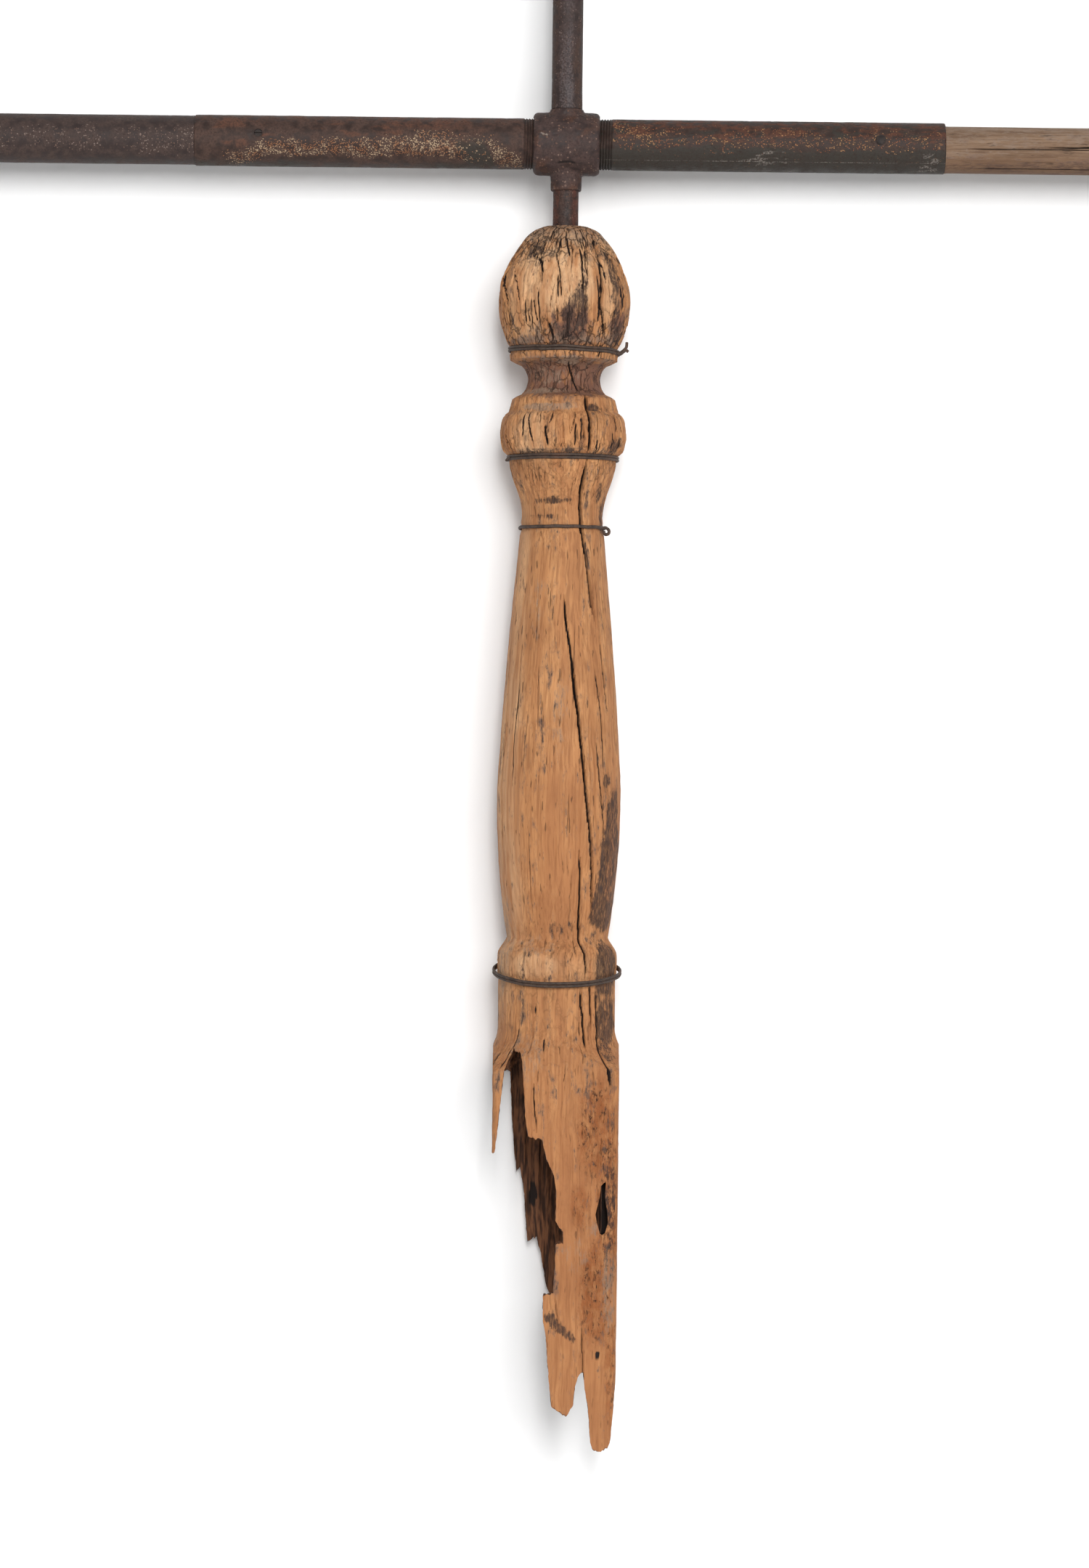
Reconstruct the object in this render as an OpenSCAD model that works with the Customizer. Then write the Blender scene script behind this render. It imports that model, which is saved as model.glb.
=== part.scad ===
// Railway semaphore signal: a pipe crosshead with two arms that turns on the
// spindle of a turned wooden post. Millimetres, +Z up. The origin is on the
// spindle axis, level with the lowest tip of the broken post.

/* [Post turning] */
// Height of the ball finial
ball_h = 102; // [80:1:120]
// Diameter of the ball finial
ball_d = 107.6; // [98:0.1:130]
// Diameter of the flat crown that the spindle enters
crown_d = 44; // [32:1:60]
// Height of the band under the ball
band_h = 10; // [6:1:20]
// Diameter of the band under the ball
band_d = 90; // [76:1:96]
// Height of the scotia, the hollow moulding
scotia_h = 30; // [20:1:40]
// Diameter at the bottom of the scotia
scotia_d = 61; // [48:1:70]
// Height of the fillet over the bulb
fillet_h = 12; // [8:1:18]
// Diameter of the fillet at its top
fillet_d = 86; // [74:0.1:90]
// Height of the bulb moulding
bulb_h = 36; // [26:1:48]
// Diameter of the bulb moulding
bulb_d = 103; // [98:0.1:124]
// Height of the bell that narrows to the waist
bell_h = 50; // [36:1:64]
// Diameter of the waist
waist_d = 68; // [54:1:80]
// Height of the vase from its waist to its belly
vase_top_h = 226; // [180:1:272]
// Diameter of the vase at its belly
vase_d = 103.6; // [92:0.1:124]
// Height of the vase from its belly to its foot
vase_foot_h = 121; // [96:1:146]
// Diameter of the vase at its foot
foot_d = 84.6; // [70:0.1:90]
// Height of the ring bead
ring_h = 34; // [24:1:42]
// Diameter of the ring bead
ring_d = 98.8; // [94:0.1:118]
// Height of the round shank
shank_h = 41; // [30:1:52]
// Height of the shoulder where the round runs out into the square
shoulder_h = 36; // [28:1:46]
// Height of the square block, down to the lowest splinter
block_h = 307; // [260:1:370]
// Width of the square block
block_w = 104.6; // [102:0.1:126]

/* [Decay] */
// Thickness of the sound wood left round the hollow
wall = 12; // [8:0.5:16]
// Corner radius of the hollow
hollow_r = 8; // [4:1:12]
// Height of the domed head of the hollow
hollow_dome_h = 48; // [36:1:60]
// Depth of the break in the front face
front_break_depth = 30; // [18:1:40]
// Depth of the knot hole in the front face
knot_depth = 18; // [8:1:24]

/* [Pipes] */
// Outside diameter of the threaded arm pipes
arm_d = 42.2; // [40:0.1:51]
// Wall of the threaded arm pipes
arm_wall = 3.6; // [3:0.1:4.4]
// Length of the left threaded pipe outside the cross
arm_left_l = 279.3; // [220:0.1:340]
// Length of the right threaded pipe outside the cross
arm_right_l = 284.9; // [220:0.1:340]
// Step from the left threaded pipe down to its extension, on the radius
extension_step = 0.8; // [0.3:0.1:2]
// Wall of the spigot that the extension pipe is swaged down to
spigot_wall = 2.5; // [2:0.1:3.5]
// Length of the spigots inside the threaded pipes
spigot_l = 100; // [80:1:130]
// Half span of the arms from the spindle axis
half_span = 560; // [480:1:680]
// Outside diameter of the mast pipe
mast_d = 25.4; // [24:0.1:31]
// Wall of the mast pipe
mast_wall = 3.5; // [2.5:0.1:4]
// Diameter of the mast's turned-down foot in the cross
mast_foot_d = 24.8; // [21:0.1:26.4]
// Height of the mast's top over the arm axis
mast_h = 240; // [190:1:290]
// Outside diameter of the spindle pipe
spindle_d = 21.3; // [17:0.1:22]
// Wall of the spindle pipe
spindle_wall = 2.75; // [2:0.05:3.4]
// Depth that the spindle is driven into the post
spindle_depth = 150; // [110:1:180]
// Clear length of spindle between the post and the cross
spindle_gap = 29; // [20:0.5:36]

/* [Bar] */
// Diameter of the wooden bar in the right arm
bar_d = 39; // [37.5:0.1:47]
// Drop of the bar's axis under the pipe's axis
bar_drop = 1; // [0:0.1:1.2]

/* [Cross] */
// Length of the cross along the arms
cross_l = 55; // [46:0.5:66]
// Thickness of the cross's iron round the threaded pipes
cross_wall = 4.65; // [3.6:0.05:6]
// Rounding of the cross's ends
cross_round = 4; // [2:0.5:4.5]
// Thickness of the iron round the spindle
boss_wall = 2; // [1.6:0.1:4]
// Drop of the lower boss's face under the arm axis
boss_drop = 39; // [34:0.5:46]
// Height of the lip round the mast
lip_h = 3; // [2:0.5:5]

/* [Thread] */
// Pitch of the pipe thread
pitch = 2.31; // [1.95:0.01:2.75]
// Depth of the pipe thread
thread_depth = 1.1; // [0.7:0.1:1.3]
// Length of thread that is screwed into the cross
thread_in = 14; // [10:0.5:14]
// Turns of thread that show outside the cross on the left
turns_left = 3; // [1:1:6]
// Turns of thread that show outside the cross on the right
turns_right = 4; // [1:1:6]

/* [Fasteners] */
// Distance of the left screw from its pipe's end
screw_inset = 53; // [30:1:70]
// Head diameter of the left screw
screw_head_d = 6.2; // [5.2:0.1:8]
// Shank diameter of the left screw
screw_d = 4.6; // [3.5:0.1:5]
// Distance of the right nail from its pipe's end
nail_inset = 54; // [30:1:70]
// Head diameter of the right nail
nail_head_d = 8.6; // [7:0.1:11]
// Shank diameter of the right nail
nail_d = 3.8; // [3:0.1:4.5]
// Length of the right nail under its head
nail_l = 32; // [24:1:34]
// Angle of both fasteners over the level, seen along the arms
fastener_angle = 12; // [0:1:30]

/* [Wires] */
// Diameter of the binding wire
wire_d = 2.4; // [2:0.1:3]
// Diameter of the heavier wire at the waist
waist_wire_d = 3; // [2.4:0.1:3.6]
// Tilt of the loose wire under the ring bead
loose_tilt = 12; // [0:1:14]

/* [Hidden] */

$fn = 96;
through = 1;
fit = 0.05;
running = 0.1;

// Heights of the joints between the mouldings, counted up from the lowest splinter
z_shoulder = block_h + shoulder_h;
z_shank = z_shoulder + shank_h;
z_ring = z_shank + ring_h;
z_belly = z_ring + vase_foot_h;
z_waist = z_belly + vase_top_h;
z_bell = z_waist + bell_h;
z_bulb = z_bell + bulb_h;
z_fillet = z_bulb + fillet_h;
z_scotia = z_fillet + scotia_h;
z_band = z_scotia + band_h;
z_crown = z_band + ball_h;
z_boss = z_crown + spindle_gap;
z_arm = z_boss + boss_drop;

shank_d = ring_d - 0.8;
groove = 1.2;
ball_widest = 0.605;
ring_rise = 0.42;
hollow_w = block_w - 2 * wall;
left_bite = 2.6;

arm_bore = arm_d - 2 * arm_wall;
spigot_d = arm_bore - 2 * fit;
extension_d = arm_d - 2 * extension_step;
extension_bore = spigot_d - 2 * spigot_wall;
left_end = cross_l / 2 + arm_left_l;
right_end = cross_l / 2 + arm_right_l;
pipe_start = cross_l / 2 - thread_in;
pipe_round = 1.2;
cross_d = arm_d + 2 * cross_wall;
chamber_d = arm_bore + 1;
boss_bore = spindle_d + 2 * running;
boss_d = boss_bore + 2 * boss_wall;
boss_round = 1.4;
boss_root = 4;

spindle_bore = spindle_d - 2 * spindle_wall;
spindle_rise = 8;
washer_t = 3;
washer_wall = 7;
washer_d = mast_foot_d - 0.8;
mast_bore = mast_d - 2 * mast_wall;
mast_foot = spindle_rise + washer_t + running;
lip_top = cross_d / 2 + lip_h;
lip_d = mast_d + 3;
lip_taper = 1.2;

screw_sink = 0.9;
screw_tip_back = 0.3;
screw_l = spigot_wall - screw_tip_back;
slot_w = 1;
slot_depth = 1.2;
nail_head_t = 1.2;

// Radii and heights of the rings that the wires make, tied to the turning
neck_wire_r = band_d / 2 + 0.2;
neck_wire_z = z_band - groove;
bulb_wire_r = band_d / 2 + 0.4;
bulb_wire_z = z_bell - groove;
waist_wire_r = waist_d / 2 + 0.9;
waist_wire_z = z_waist - 9;
loose_wire_r = (ring_d / 2 + wire_d / 2 + running) / cos(loose_tilt);
loose_wire_z = z_shank + 4;
strand_gap = 0.1;
tail_l = 13;
tail_lean = 26;

// Shares of a curve from 0 to 1 in n steps, and the ways that a moulding swells
function steps(n) = [for (i = [0 : n]) i / n];
function ease(t) = (1 - cos(180 * t)) / 2;
function swell(t) = (sin(90 * t) + ease(t)) / 2;
function rise(t) = t + sin(180 * t) * sqrt(t) / 10;
function blend(a, b, t) = a + (b - a) * t;

// Each moulding is a list of [radius, height], from its top down
function ball_points() =
    let (upper = ball_h * ball_widest, lower = ball_h - upper, z_widest = z_crown - upper,
         upper_power = 1.7, neck_share = (band_d / 2 - groove) / (ball_d / 2),
         upper_axis = upper / pow(1 - pow(crown_d / ball_d, upper_power), 1 / upper_power),
         lower_axis = lower / sqrt(1 - neck_share * neck_share))
    concat(
        [for (t = steps(12)) let (h = upper * cos(90 * t))
            [ball_d / 2 * pow(1 - pow(h / upper_axis, upper_power), 1 / upper_power), z_widest + h]],
        [for (t = steps(8)) if (t > 0)
            [ball_d / 2 * sqrt(1 - pow(lower * t / lower_axis, 2)), z_widest - lower * t]]);

function scotia_points() = [for (t = steps(14))
    [blend(blend(band_d, fillet_d, t), scotia_d, sqrt(1 - pow(2 * t - 1, 2))) / 2,
     z_scotia - scotia_h * t]];

function bulb_points() = [for (t = steps(12))
    [blend(band_d, bulb_d, sqrt(1 - pow(2 * t - 1, 2))) / 2, z_bulb - bulb_h * t]];

function bell_points() = [for (t = steps(10)) if (t > 0)
    [blend(band_d - groove, waist_d, ease(t)) / 2, z_bell - bell_h * t]];

function vase_points() = concat(
    [for (t = steps(14)) if (t > 0)
        [blend(waist_d, vase_d, rise(t)) / 2, z_waist - vase_top_h * t]],
    [for (t = steps(8)) if (t > 0) [blend(vase_d, foot_d, t * t) / 2, z_belly - vase_foot_h * t]]);

function ring_points() = concat(
    [for (t = steps(6)) if (t > 0)
        [blend(foot_d, ring_d, swell(t)) / 2, z_ring - ring_h * ring_rise * t]],
    [[ring_d / 2, z_shank + 2 * groove], [ring_d / 2 - groove, z_shank],
     [shank_d / 2, z_shank - 2 * groove], [shank_d / 2, z_shoulder]]);

module turned_part() {
    rotate_extrude() polygon(concat([[0, z_crown]], ball_points(),
        [[band_d / 2, z_band - 2 * groove]], scotia_points(), bulb_points(), bell_points(),
        vase_points(), ring_points(), [[0, z_shoulder]]));
}

// The round runs out into the square, so each face ends in an arch
module block_part() {
    corner_r = block_w / sqrt(2) + through;
    intersection() {
        rotate_extrude() polygon(concat([[0, z_shoulder]],
            [for (t = steps(8)) [blend(shank_d / 2, corner_r, t * t), z_shoulder - shoulder_h * t]],
            [[corner_r, 0], [0, 0]]));
        translate([-block_w / 2, -block_w / 2, 0]) cube([block_w, block_w, z_shoulder]);
    }
}

// What has broken away from each face. Each x is a share of half the block's
// width and each z a share of its height, seen from outside the front face.
front_break = [
    [-0.66, 1.066], [-0.55, 1.055], [-0.51, 1], [-0.47, 0.895], [-0.425, 0.837],
    [-0.2, 0.829], [-0.13, 0.777], [-0.01, 0.734], [0.03, 0.692], [0.025, 0.613],
    [0.08, 0.595], [0.14, 0.582], [0.14, 0.551], [0.03, 0.551], [0.025, 0.499], [0, 0.42],
    [-0.16, 0.412], [-0.155, 0.344], [-0.115, 0.314], [-0.065, 0.209], [-0.01, 0.119],
    [0.135, 0.101], [0.235, 0.095], [0.325, 0.124], [0.345, 0.159], [0.39, 0.196],
    [0.45, 0.212], [0.485, 0.209], [0.51, 0.167], [0.565, 0.111], [0.605, 0.025],
    [0.64, 0.008], [0.72, 0], [0.79, 0.002], [0.87, 0.011], [0.905, 0.025],
    [0.935, 0.068], [0.97, 0.138], [0.99, 0.201], [1.2, 0.212], [1.2, -0.1],
    [-1.2, -0.1], [-1.2, 0.791], [-0.945, 0.791], [-0.9, 0.861], [-0.855, 0.937],
    [-0.81, 1.01], [-0.76, 1.03]];

// The back face, seen through the post from the front
back_break = [
    [-1.2, 0.99], [-0.72, 0.99], [-0.68, 0.86], [-0.64, 0.77], [-0.6, 0.72],
    [-0.55, 0.735], [-0.48, 0.67], [-0.42, 0.535], [-0.28, 0.545], [-0.2, 0.5],
    [-0.12, 0.42], [-0.04, 0.38], [0.15, 0.33], [0.3, 0.27], [0.55, 0.25], [0.7, 0.2],
    [1.2, 0.19], [1.2, -0.1], [-1.2, -0.1]];

// The left and right faces, where x runs from the front to the back
left_break = [
    [-0.7, 1.0], [-0.55, 1.03], [-0.4, 1.01], [-0.1, 1.045], [0.2, 1.015], [0.45, 1.04],
    [0.75, 1.0], [1.2, 0.99], [1.2, -0.1], [-1.2, -0.1], [-1.2, 0.7], [-0.9, 0.72],
    [-0.8, 0.86]];
right_break = [
    [-0.76, 0.1], [-0.7, 0.19], [-0.6, 0.27], [-0.35, 0.24], [0, 0.3], [0.3, 0.25],
    [0.6, 0.23], [0.9, 0.19], [1.2, 0.19], [1.2, -0.1], [-0.76, -0.1]];

knot_hole = [
    [0.804, 0.719], [0.725, 0.707], [0.709, 0.676], [0.642, 0.63], [0.668, 0.608],
    [0.717, 0.579], [0.75, 0.576], [0.796, 0.582], [0.843, 0.608], [0.826, 0.64],
    [0.79, 0.676]];

// Cuts an outline into a face: turn 0 is the front, 90 the right, 180 the back
// and 270 the left. flip keeps x running the way that the outline gives it.
module cut_face(outline, depth, turn = 0, flip = false) {
    points = [for (p = outline) [p.x * block_w / 2 * (flip ? -1 : 1), p.y * block_h]];
    rotate([0, 0, turn]) translate([0, depth - block_w / 2, 0]) rotate([90, 0, 0])
        linear_extrude(depth + through) polygon(points);
}

module hollow() {
    inner = hollow_w / 2 - hollow_r;
    translate([0, 0, -through]) linear_extrude(block_h + through) {
        translate([-hollow_w / 2, -inner]) square([hollow_w, 2 * inner]);
        translate([-inner, -hollow_w / 2]) square([2 * inner, hollow_w]);
        for (x = [-inner, inner], y = [-inner, inner]) translate([x, y]) circle(hollow_r);
    }
    rotate_extrude() polygon(concat([[0, block_h - through], [hollow_w / 2, block_h - through]],
        [for (t = steps(8)) if (t < 1) [hollow_w / 2 * cos(90 * t), block_h + hollow_dome_h * sin(90 * t)]],
        [[0, block_h + hollow_dome_h]]));
}

module ring_of_wire(r, z, d, turns = 1) {
    for (i = [0 : turns - 1])
        translate([0, 0, z + (i - (turns - 1) / 2) * (d + strand_gap)])
            rotate_extrude() translate([r, 0]) circle(d = d);
}

// The bed that a wire has bitten into the wood
module wire_groove(r, z, d, turns = 1) {
    height = turns * (d + strand_gap) + 2 * fit;
    rotate_extrude() translate([r - d / 2 - fit, z - height / 2]) square([3 * d, height]);
}

// A wire's twisted or curled end, standing off the ring at an angle round the post
module wire_tail(r, z, d, length, turn) {
    rotate([0, 0, turn]) translate([r, 0, z]) rotate([0, tail_lean, 0]) cylinder(h = length, d = d);
}

module post() {
    color("peru") difference() {
        union() {
            turned_part();
            block_part();
        }
        hollow();
        cut_face(front_break, front_break_depth);
        cut_face(right_break, wall + hollow_r, turn = 90);
        cut_face(back_break, wall + hollow_r, turn = 180, flip = true);
        cut_face(left_break, wall + left_bite, turn = 270, flip = true);
        cut_face(knot_hole, knot_depth);
        translate([0, 0, z_crown - spindle_depth])
            cylinder(h = spindle_depth + through, d = spindle_d + 2 * fit);
        wire_groove(neck_wire_r, neck_wire_z, wire_d, turns = 2);
        wire_groove(bulb_wire_r, bulb_wire_z, wire_d, turns = 2);
        wire_groove(waist_wire_r, waist_wire_z, waist_wire_d);
    }
}

module wire_neck() {
    color("dimgray") {
        ring_of_wire(neck_wire_r, neck_wire_z, wire_d, turns = 2);
        wire_tail(neck_wire_r + wire_d / 3, neck_wire_z, wire_d * 1.4, tail_l, turn = -14);
    }
}

module wire_bulb() {
    color("dimgray") ring_of_wire(bulb_wire_r, bulb_wire_z, wire_d, turns = 2);
}

module wire_waist() {
    color("dimgray") ring_of_wire(waist_wire_r, waist_wire_z, waist_wire_d);
}

// Two slack turns that lie on the ring bead behind and hang lower in front
module wire_ring() {
    color("dimgray") for (i = [0 : 1])
        translate([0, 0, loose_wire_z + i * (wire_d + strand_gap) / cos(loose_tilt)])
            rotate([loose_tilt, 0, 0]) rotate_extrude() translate([loose_wire_r, 0]) circle(d = wire_d);
}

module spindle_pipe() {
    z0 = z_crown - spindle_depth;
    height = z_arm + spindle_rise - z0;
    color("sienna") translate([0, 0, z0]) difference() {
        cylinder(h = height, d = spindle_d);
        translate([0, 0, -through]) cylinder(h = height + 2 * through, d = spindle_bore);
    }
}

module thrust_washer() {
    color("darkgray") translate([0, 0, z_arm + spindle_rise]) difference() {
        cylinder(h = washer_t, d = washer_d);
        translate([0, 0, -through]) cylinder(h = washer_t + 2 * through, d = washer_d - 2 * washer_wall);
    }
}

// Lies a shape that stands on +Z along the arms: side -1 is left, 1 is right
module along_arm(side) {
    translate([0, 0, z_arm]) rotate([0, 90 * side, 0]) children();
}

module cross_barrel() {
    r = cross_d / 2;
    arc = [for (t = steps(6)) [r - cross_round + cross_round * cos(90 * t), cross_round * sin(90 * t)]];
    flat = cross_l / 2 - cross_round;
    along_arm(1) rotate_extrude() polygon(concat(
        [for (p = arc) [p.x, p.y + flat]], [[0, cross_l / 2], [0, -cross_l / 2]],
        [for (i = [6 : -1 : 0]) [arc[i].x, -arc[i].y - flat]]));
}

module cross_boss() {
    r = boss_d / 2;
    root_z = boss_drop - cross_d / 2;
    translate([0, 0, z_boss]) rotate_extrude() polygon(concat(
        [[0, 0]],
        [for (t = steps(4)) [r - boss_round + boss_round * sin(90 * t), boss_round * (1 - cos(90 * t))]],
        [for (t = steps(6)) [r + boss_root * (1 - cos(90 * t)), root_z - boss_root / 2 + 2 * boss_root * sin(90 * t)]],
        [[r + boss_root, boss_drop], [0, boss_drop]]));
}

module cross_fitting() {
    chamber_r = chamber_d / 2;
    color("saddlebrown") difference() {
        union() {
            cross_barrel();
            cross_boss();
            translate([0, 0, z_arm]) cylinder(h = cross_d / 2, d = lip_d);
            translate([0, 0, z_arm + cross_d / 2 - through])
                cylinder(h = lip_h + through, d1 = lip_d, d2 = lip_d - lip_taper);
        }
        for (side = [-1, 1]) along_arm(side) {
            translate([0, 0, pipe_start]) cylinder(h = thread_in + through, d = arm_d + 2 * fit);
            translate([0, 0, -through]) cylinder(h = pipe_start + 2 * through, d = chamber_d);
        }
        translate([0, 0, z_boss - through]) cylinder(h = boss_drop + through, d = boss_bore);
        translate([0, 0, z_arm]) cylinder(h = lip_top + through, d = mast_foot_d + 2 * fit);
    }
}

module mast_pipe() {
    color("sienna") translate([0, 0, z_arm]) difference() {
        union() {
            translate([0, 0, mast_foot]) cylinder(h = lip_top - mast_foot, d = mast_foot_d);
            translate([0, 0, lip_top]) cylinder(h = mast_h - lip_top, d = mast_d);
        }
        translate([0, 0, mast_foot - through]) cylinder(h = mast_h - mast_foot + 2 * through, d = mast_bore);
    }
}

// A tube with a saw-toothed stretch at its inner end, and its outer end rounded
module threaded_pipe(end, turns) {
    r = arm_d / 2;
    teeth = floor(thread_in / pitch) + turns;
    thread_end = cross_l / 2 + turns * pitch;
    rotate_extrude() polygon(concat(
        [[arm_bore / 2, end], [arm_bore / 2, pipe_start], [r - thread_depth, pipe_start]],
        [for (i = [teeth - 1 : -1 : 0], side = [0, 1])
            side == 0 ? [r - thread_depth, thread_end - (i + 1) * pitch] : [r, thread_end - (i + 0.5) * pitch]],
        [[r - thread_depth, thread_end], [r, thread_end + pitch / 2]],
        [for (t = steps(4)) [r - pipe_round * (1 - cos(90 * t)), end - pipe_round * (1 - sin(90 * t))]]));
}

// A fastener's place on an arm: its axis points out of the pipe's front
module at_fastener(side, inset) {
    x = side * ((side < 0 ? left_end : right_end) - inset);
    translate([x, 0, z_arm]) rotate([90 - fastener_angle, 0, 0]) children();
}

module arm_pipe_left() {
    color("brown") difference() {
        along_arm(-1) threaded_pipe(left_end, turns_left);
        at_fastener(-1, screw_inset) translate([0, 0, arm_bore / 2 - 2])
            cylinder(h = arm_wall + 4, d = screw_head_d + 0.4);
    }
}

module arm_pipe_right() {
    color("brown") difference() {
        along_arm(1) threaded_pipe(right_end, turns_right);
        at_fastener(1, nail_inset) translate([0, 0, arm_bore / 2 - 2])
            cylinder(h = arm_wall + 4, d = nail_d + 2 * fit);
    }
}

module arm_extension_left() {
    color("indianred") difference() {
        along_arm(-1) difference() {
            union() {
                translate([0, 0, left_end - spigot_l]) cylinder(h = spigot_l, d = spigot_d);
                translate([0, 0, left_end]) cylinder(h = half_span - left_end, d = extension_d);
            }
            translate([0, 0, left_end - spigot_l - through])
                cylinder(h = half_span - left_end + spigot_l + 2 * through, d = extension_bore);
        }
        at_fastener(-1, screw_inset) translate([0, 0, extension_bore / 2 - 2])
            cylinder(h = spigot_wall + 4, d = screw_d + 2 * fit);
    }
}

module arm_bar_right() {
    color("burlywood") difference() {
        along_arm(1) union() {
            translate([0, 0, right_end - spigot_l]) cylinder(h = spigot_l, d = spigot_d);
            translate([bar_drop, 0, right_end]) cylinder(h = half_span - right_end, d = bar_d);
        }
        at_fastener(1, nail_inset) translate([0, 0, arm_d / 2 - nail_l - fit])
            cylinder(h = nail_l, d = nail_d + 2 * fit);
    }
}

module joint_screw() {
    seat = spigot_d / 2 + fit;
    top = arm_d / 2 - screw_sink;
    color("gray") at_fastener(-1, screw_inset) difference() {
        union() {
            translate([0, 0, seat]) cylinder(h = top - seat, d = screw_head_d);
            translate([0, 0, seat - screw_l]) cylinder(h = screw_l, d = screw_d);
        }
        translate([-screw_head_d, -slot_w / 2, top - slot_depth]) cube([2 * screw_head_d, slot_w, slot_depth + through]);
    }
}

module bar_nail() {
    color("gray") at_fastener(1, nail_inset) union() {
        translate([0, 0, arm_d / 2]) cylinder(h = nail_head_t, d = nail_head_d);
        translate([0, 0, arm_d / 2 - nail_l]) cylinder(h = nail_l, d = nail_d);
    }
}

post();
wire_neck();
wire_bulb();
wire_waist();
wire_ring();
spindle_pipe();
thrust_washer();
cross_fitting();
mast_pipe();
arm_pipe_left();
arm_pipe_right();
arm_extension_left();
arm_bar_right();
joint_screw();
bar_nail();
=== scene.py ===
"""Looks for a railway semaphore signal: an iron crosshead that turns on a weathered, turned post."""

import logging
import math
from dataclasses import dataclass
from enum import Enum
from typing import Callable, Optional, Sequence

import bpy
import numpy as np
from mathutils import Matrix, Vector
from mathutils.bvhtree import BVHTree


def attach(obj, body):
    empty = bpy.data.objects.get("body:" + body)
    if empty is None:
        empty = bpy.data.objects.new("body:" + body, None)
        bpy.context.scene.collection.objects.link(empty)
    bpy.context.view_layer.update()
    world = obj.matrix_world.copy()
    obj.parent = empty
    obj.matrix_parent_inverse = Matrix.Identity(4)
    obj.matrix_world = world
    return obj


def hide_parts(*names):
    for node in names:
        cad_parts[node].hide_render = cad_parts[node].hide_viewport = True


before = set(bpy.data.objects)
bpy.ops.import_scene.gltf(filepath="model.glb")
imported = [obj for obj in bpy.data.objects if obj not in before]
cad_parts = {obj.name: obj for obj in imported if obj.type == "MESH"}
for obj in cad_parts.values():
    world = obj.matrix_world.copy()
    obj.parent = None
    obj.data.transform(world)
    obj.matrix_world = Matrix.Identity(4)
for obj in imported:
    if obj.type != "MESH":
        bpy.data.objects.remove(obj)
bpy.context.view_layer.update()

MM = 0.001
log = logging.getLogger("signal")

Array = np.ndarray
Colour = tuple[float, float, float]


class Side(Enum):
    """Which arm a piece belongs to, as the sign of its direction along X."""

    LEFT = -1
    RIGHT = 1


# ---------------------------------------------------------------- numbers and noise


def smooth_step(low: float, high: float, value: Array) -> Array:
    """A smooth rise from 0 at low to 1 at high."""
    share = np.clip((value - low) / (high - low), 0, 1)
    return share * share * (3 - 2 * share)


class Noise:
    """Seeded gradient noise in three dimensions, about -0.7 to 0.7."""

    def __init__(self, seed: int) -> None:
        """Makes the slopes.

        Args:
            seed: Chooses the pattern.
        """
        random = np.random.default_rng(seed)
        self.table = random.permutation(256)
        slopes = random.normal(size=(256, 3))
        self.slopes = slopes / np.linalg.norm(slopes, axis=1, keepdims=True)

    def at(self, x: Array, y: Array, z: Array) -> Array:
        """The noise at some places.

        Args:
            x: First coordinates, in cells.
            y: Second coordinates, in cells.
            z: Third coordinates, in cells.

        Returns:
            One value for each place.
        """
        places = np.broadcast_arrays(x, y, z)
        cells = [np.floor(place).astype(int) for place in places]
        parts = [place - cell for place, cell in zip(places, cells)]
        fades = [part ** 3 * (part * (part * 6 - 15) + 10) for part in parts]
        total = np.zeros(places[0].shape)
        for corner in np.ndindex(2, 2, 2):
            index = self.table[(cells[0] + corner[0]) & 255]
            index = self.table[(index + cells[1] + corner[1]) & 255]
            index = self.table[(index + cells[2] + corner[2]) & 255]
            slope = self.slopes[index]
            weight = np.ones(places[0].shape)
            reach = np.zeros(places[0].shape)
            for axis in range(3):
                fade = fades[axis]
                weight = weight * (fade if corner[axis] else 1 - fade)
                reach = reach + slope[..., axis] * (parts[axis] - corner[axis])
            total += weight * reach
        return total

    def layered(self, x: Array, y: Array, z: Array, layers: int = 3) -> Array:
        """Noise with finer and fainter layers on top.

        Args:
            x: First coordinates, in cells.
            y: Second coordinates, in cells.
            z: Third coordinates, in cells.
            layers: How many layers there are.

        Returns:
            One value for each place.
        """
        total = 0
        for layer in range(layers):
            scale = 2 ** layer
            total = total + self.at(x * scale + 7 * layer, y * scale, z * scale) / scale
        return total


# ---------------------------------------------------------------- meshes


def grid_faces(rows: int, columns: int, loop: bool = False) -> Array:
    """The four-sided faces of a grid that closes round its columns.

    Args:
        rows: Number of rings.
        columns: Number of points in a ring.
        loop: Whether the last ring joins the first.

    Returns:
        Vertex numbers, four to a face.
    """
    row = np.arange(rows if loop else rows - 1)[:, None]
    column = np.arange(columns)[None, :]
    after_row, after_column = (row + 1) % rows, (column + 1) % columns
    corners = [row * columns + column, row * columns + after_column,
               after_row * columns + after_column, after_row * columns + column]
    return np.stack(corners, -1).reshape(-1, 4)


def new_piece(name: str, points: Array, faces: Sequence, crease: float = 40) -> bpy.types.Object:
    """A mesh object from points in millimetres.

    Args:
        name: The piece's name.
        points: One row for each vertex.
        faces: Vertex numbers of each face.
        crease: Angle over which an edge stays sharp, in degrees.

    Returns:
        The object, in the scene.
    """
    mesh = bpy.data.meshes.new(name)
    mesh.from_pydata((np.asarray(points) * MM).tolist(), [], [list(map(int, face)) for face in faces])
    mesh.validate()
    piece = bpy.data.objects.new(name, mesh)
    bpy.context.scene.collection.objects.link(piece)
    turn_outward(piece)
    soften(piece, crease)
    return piece


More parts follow.
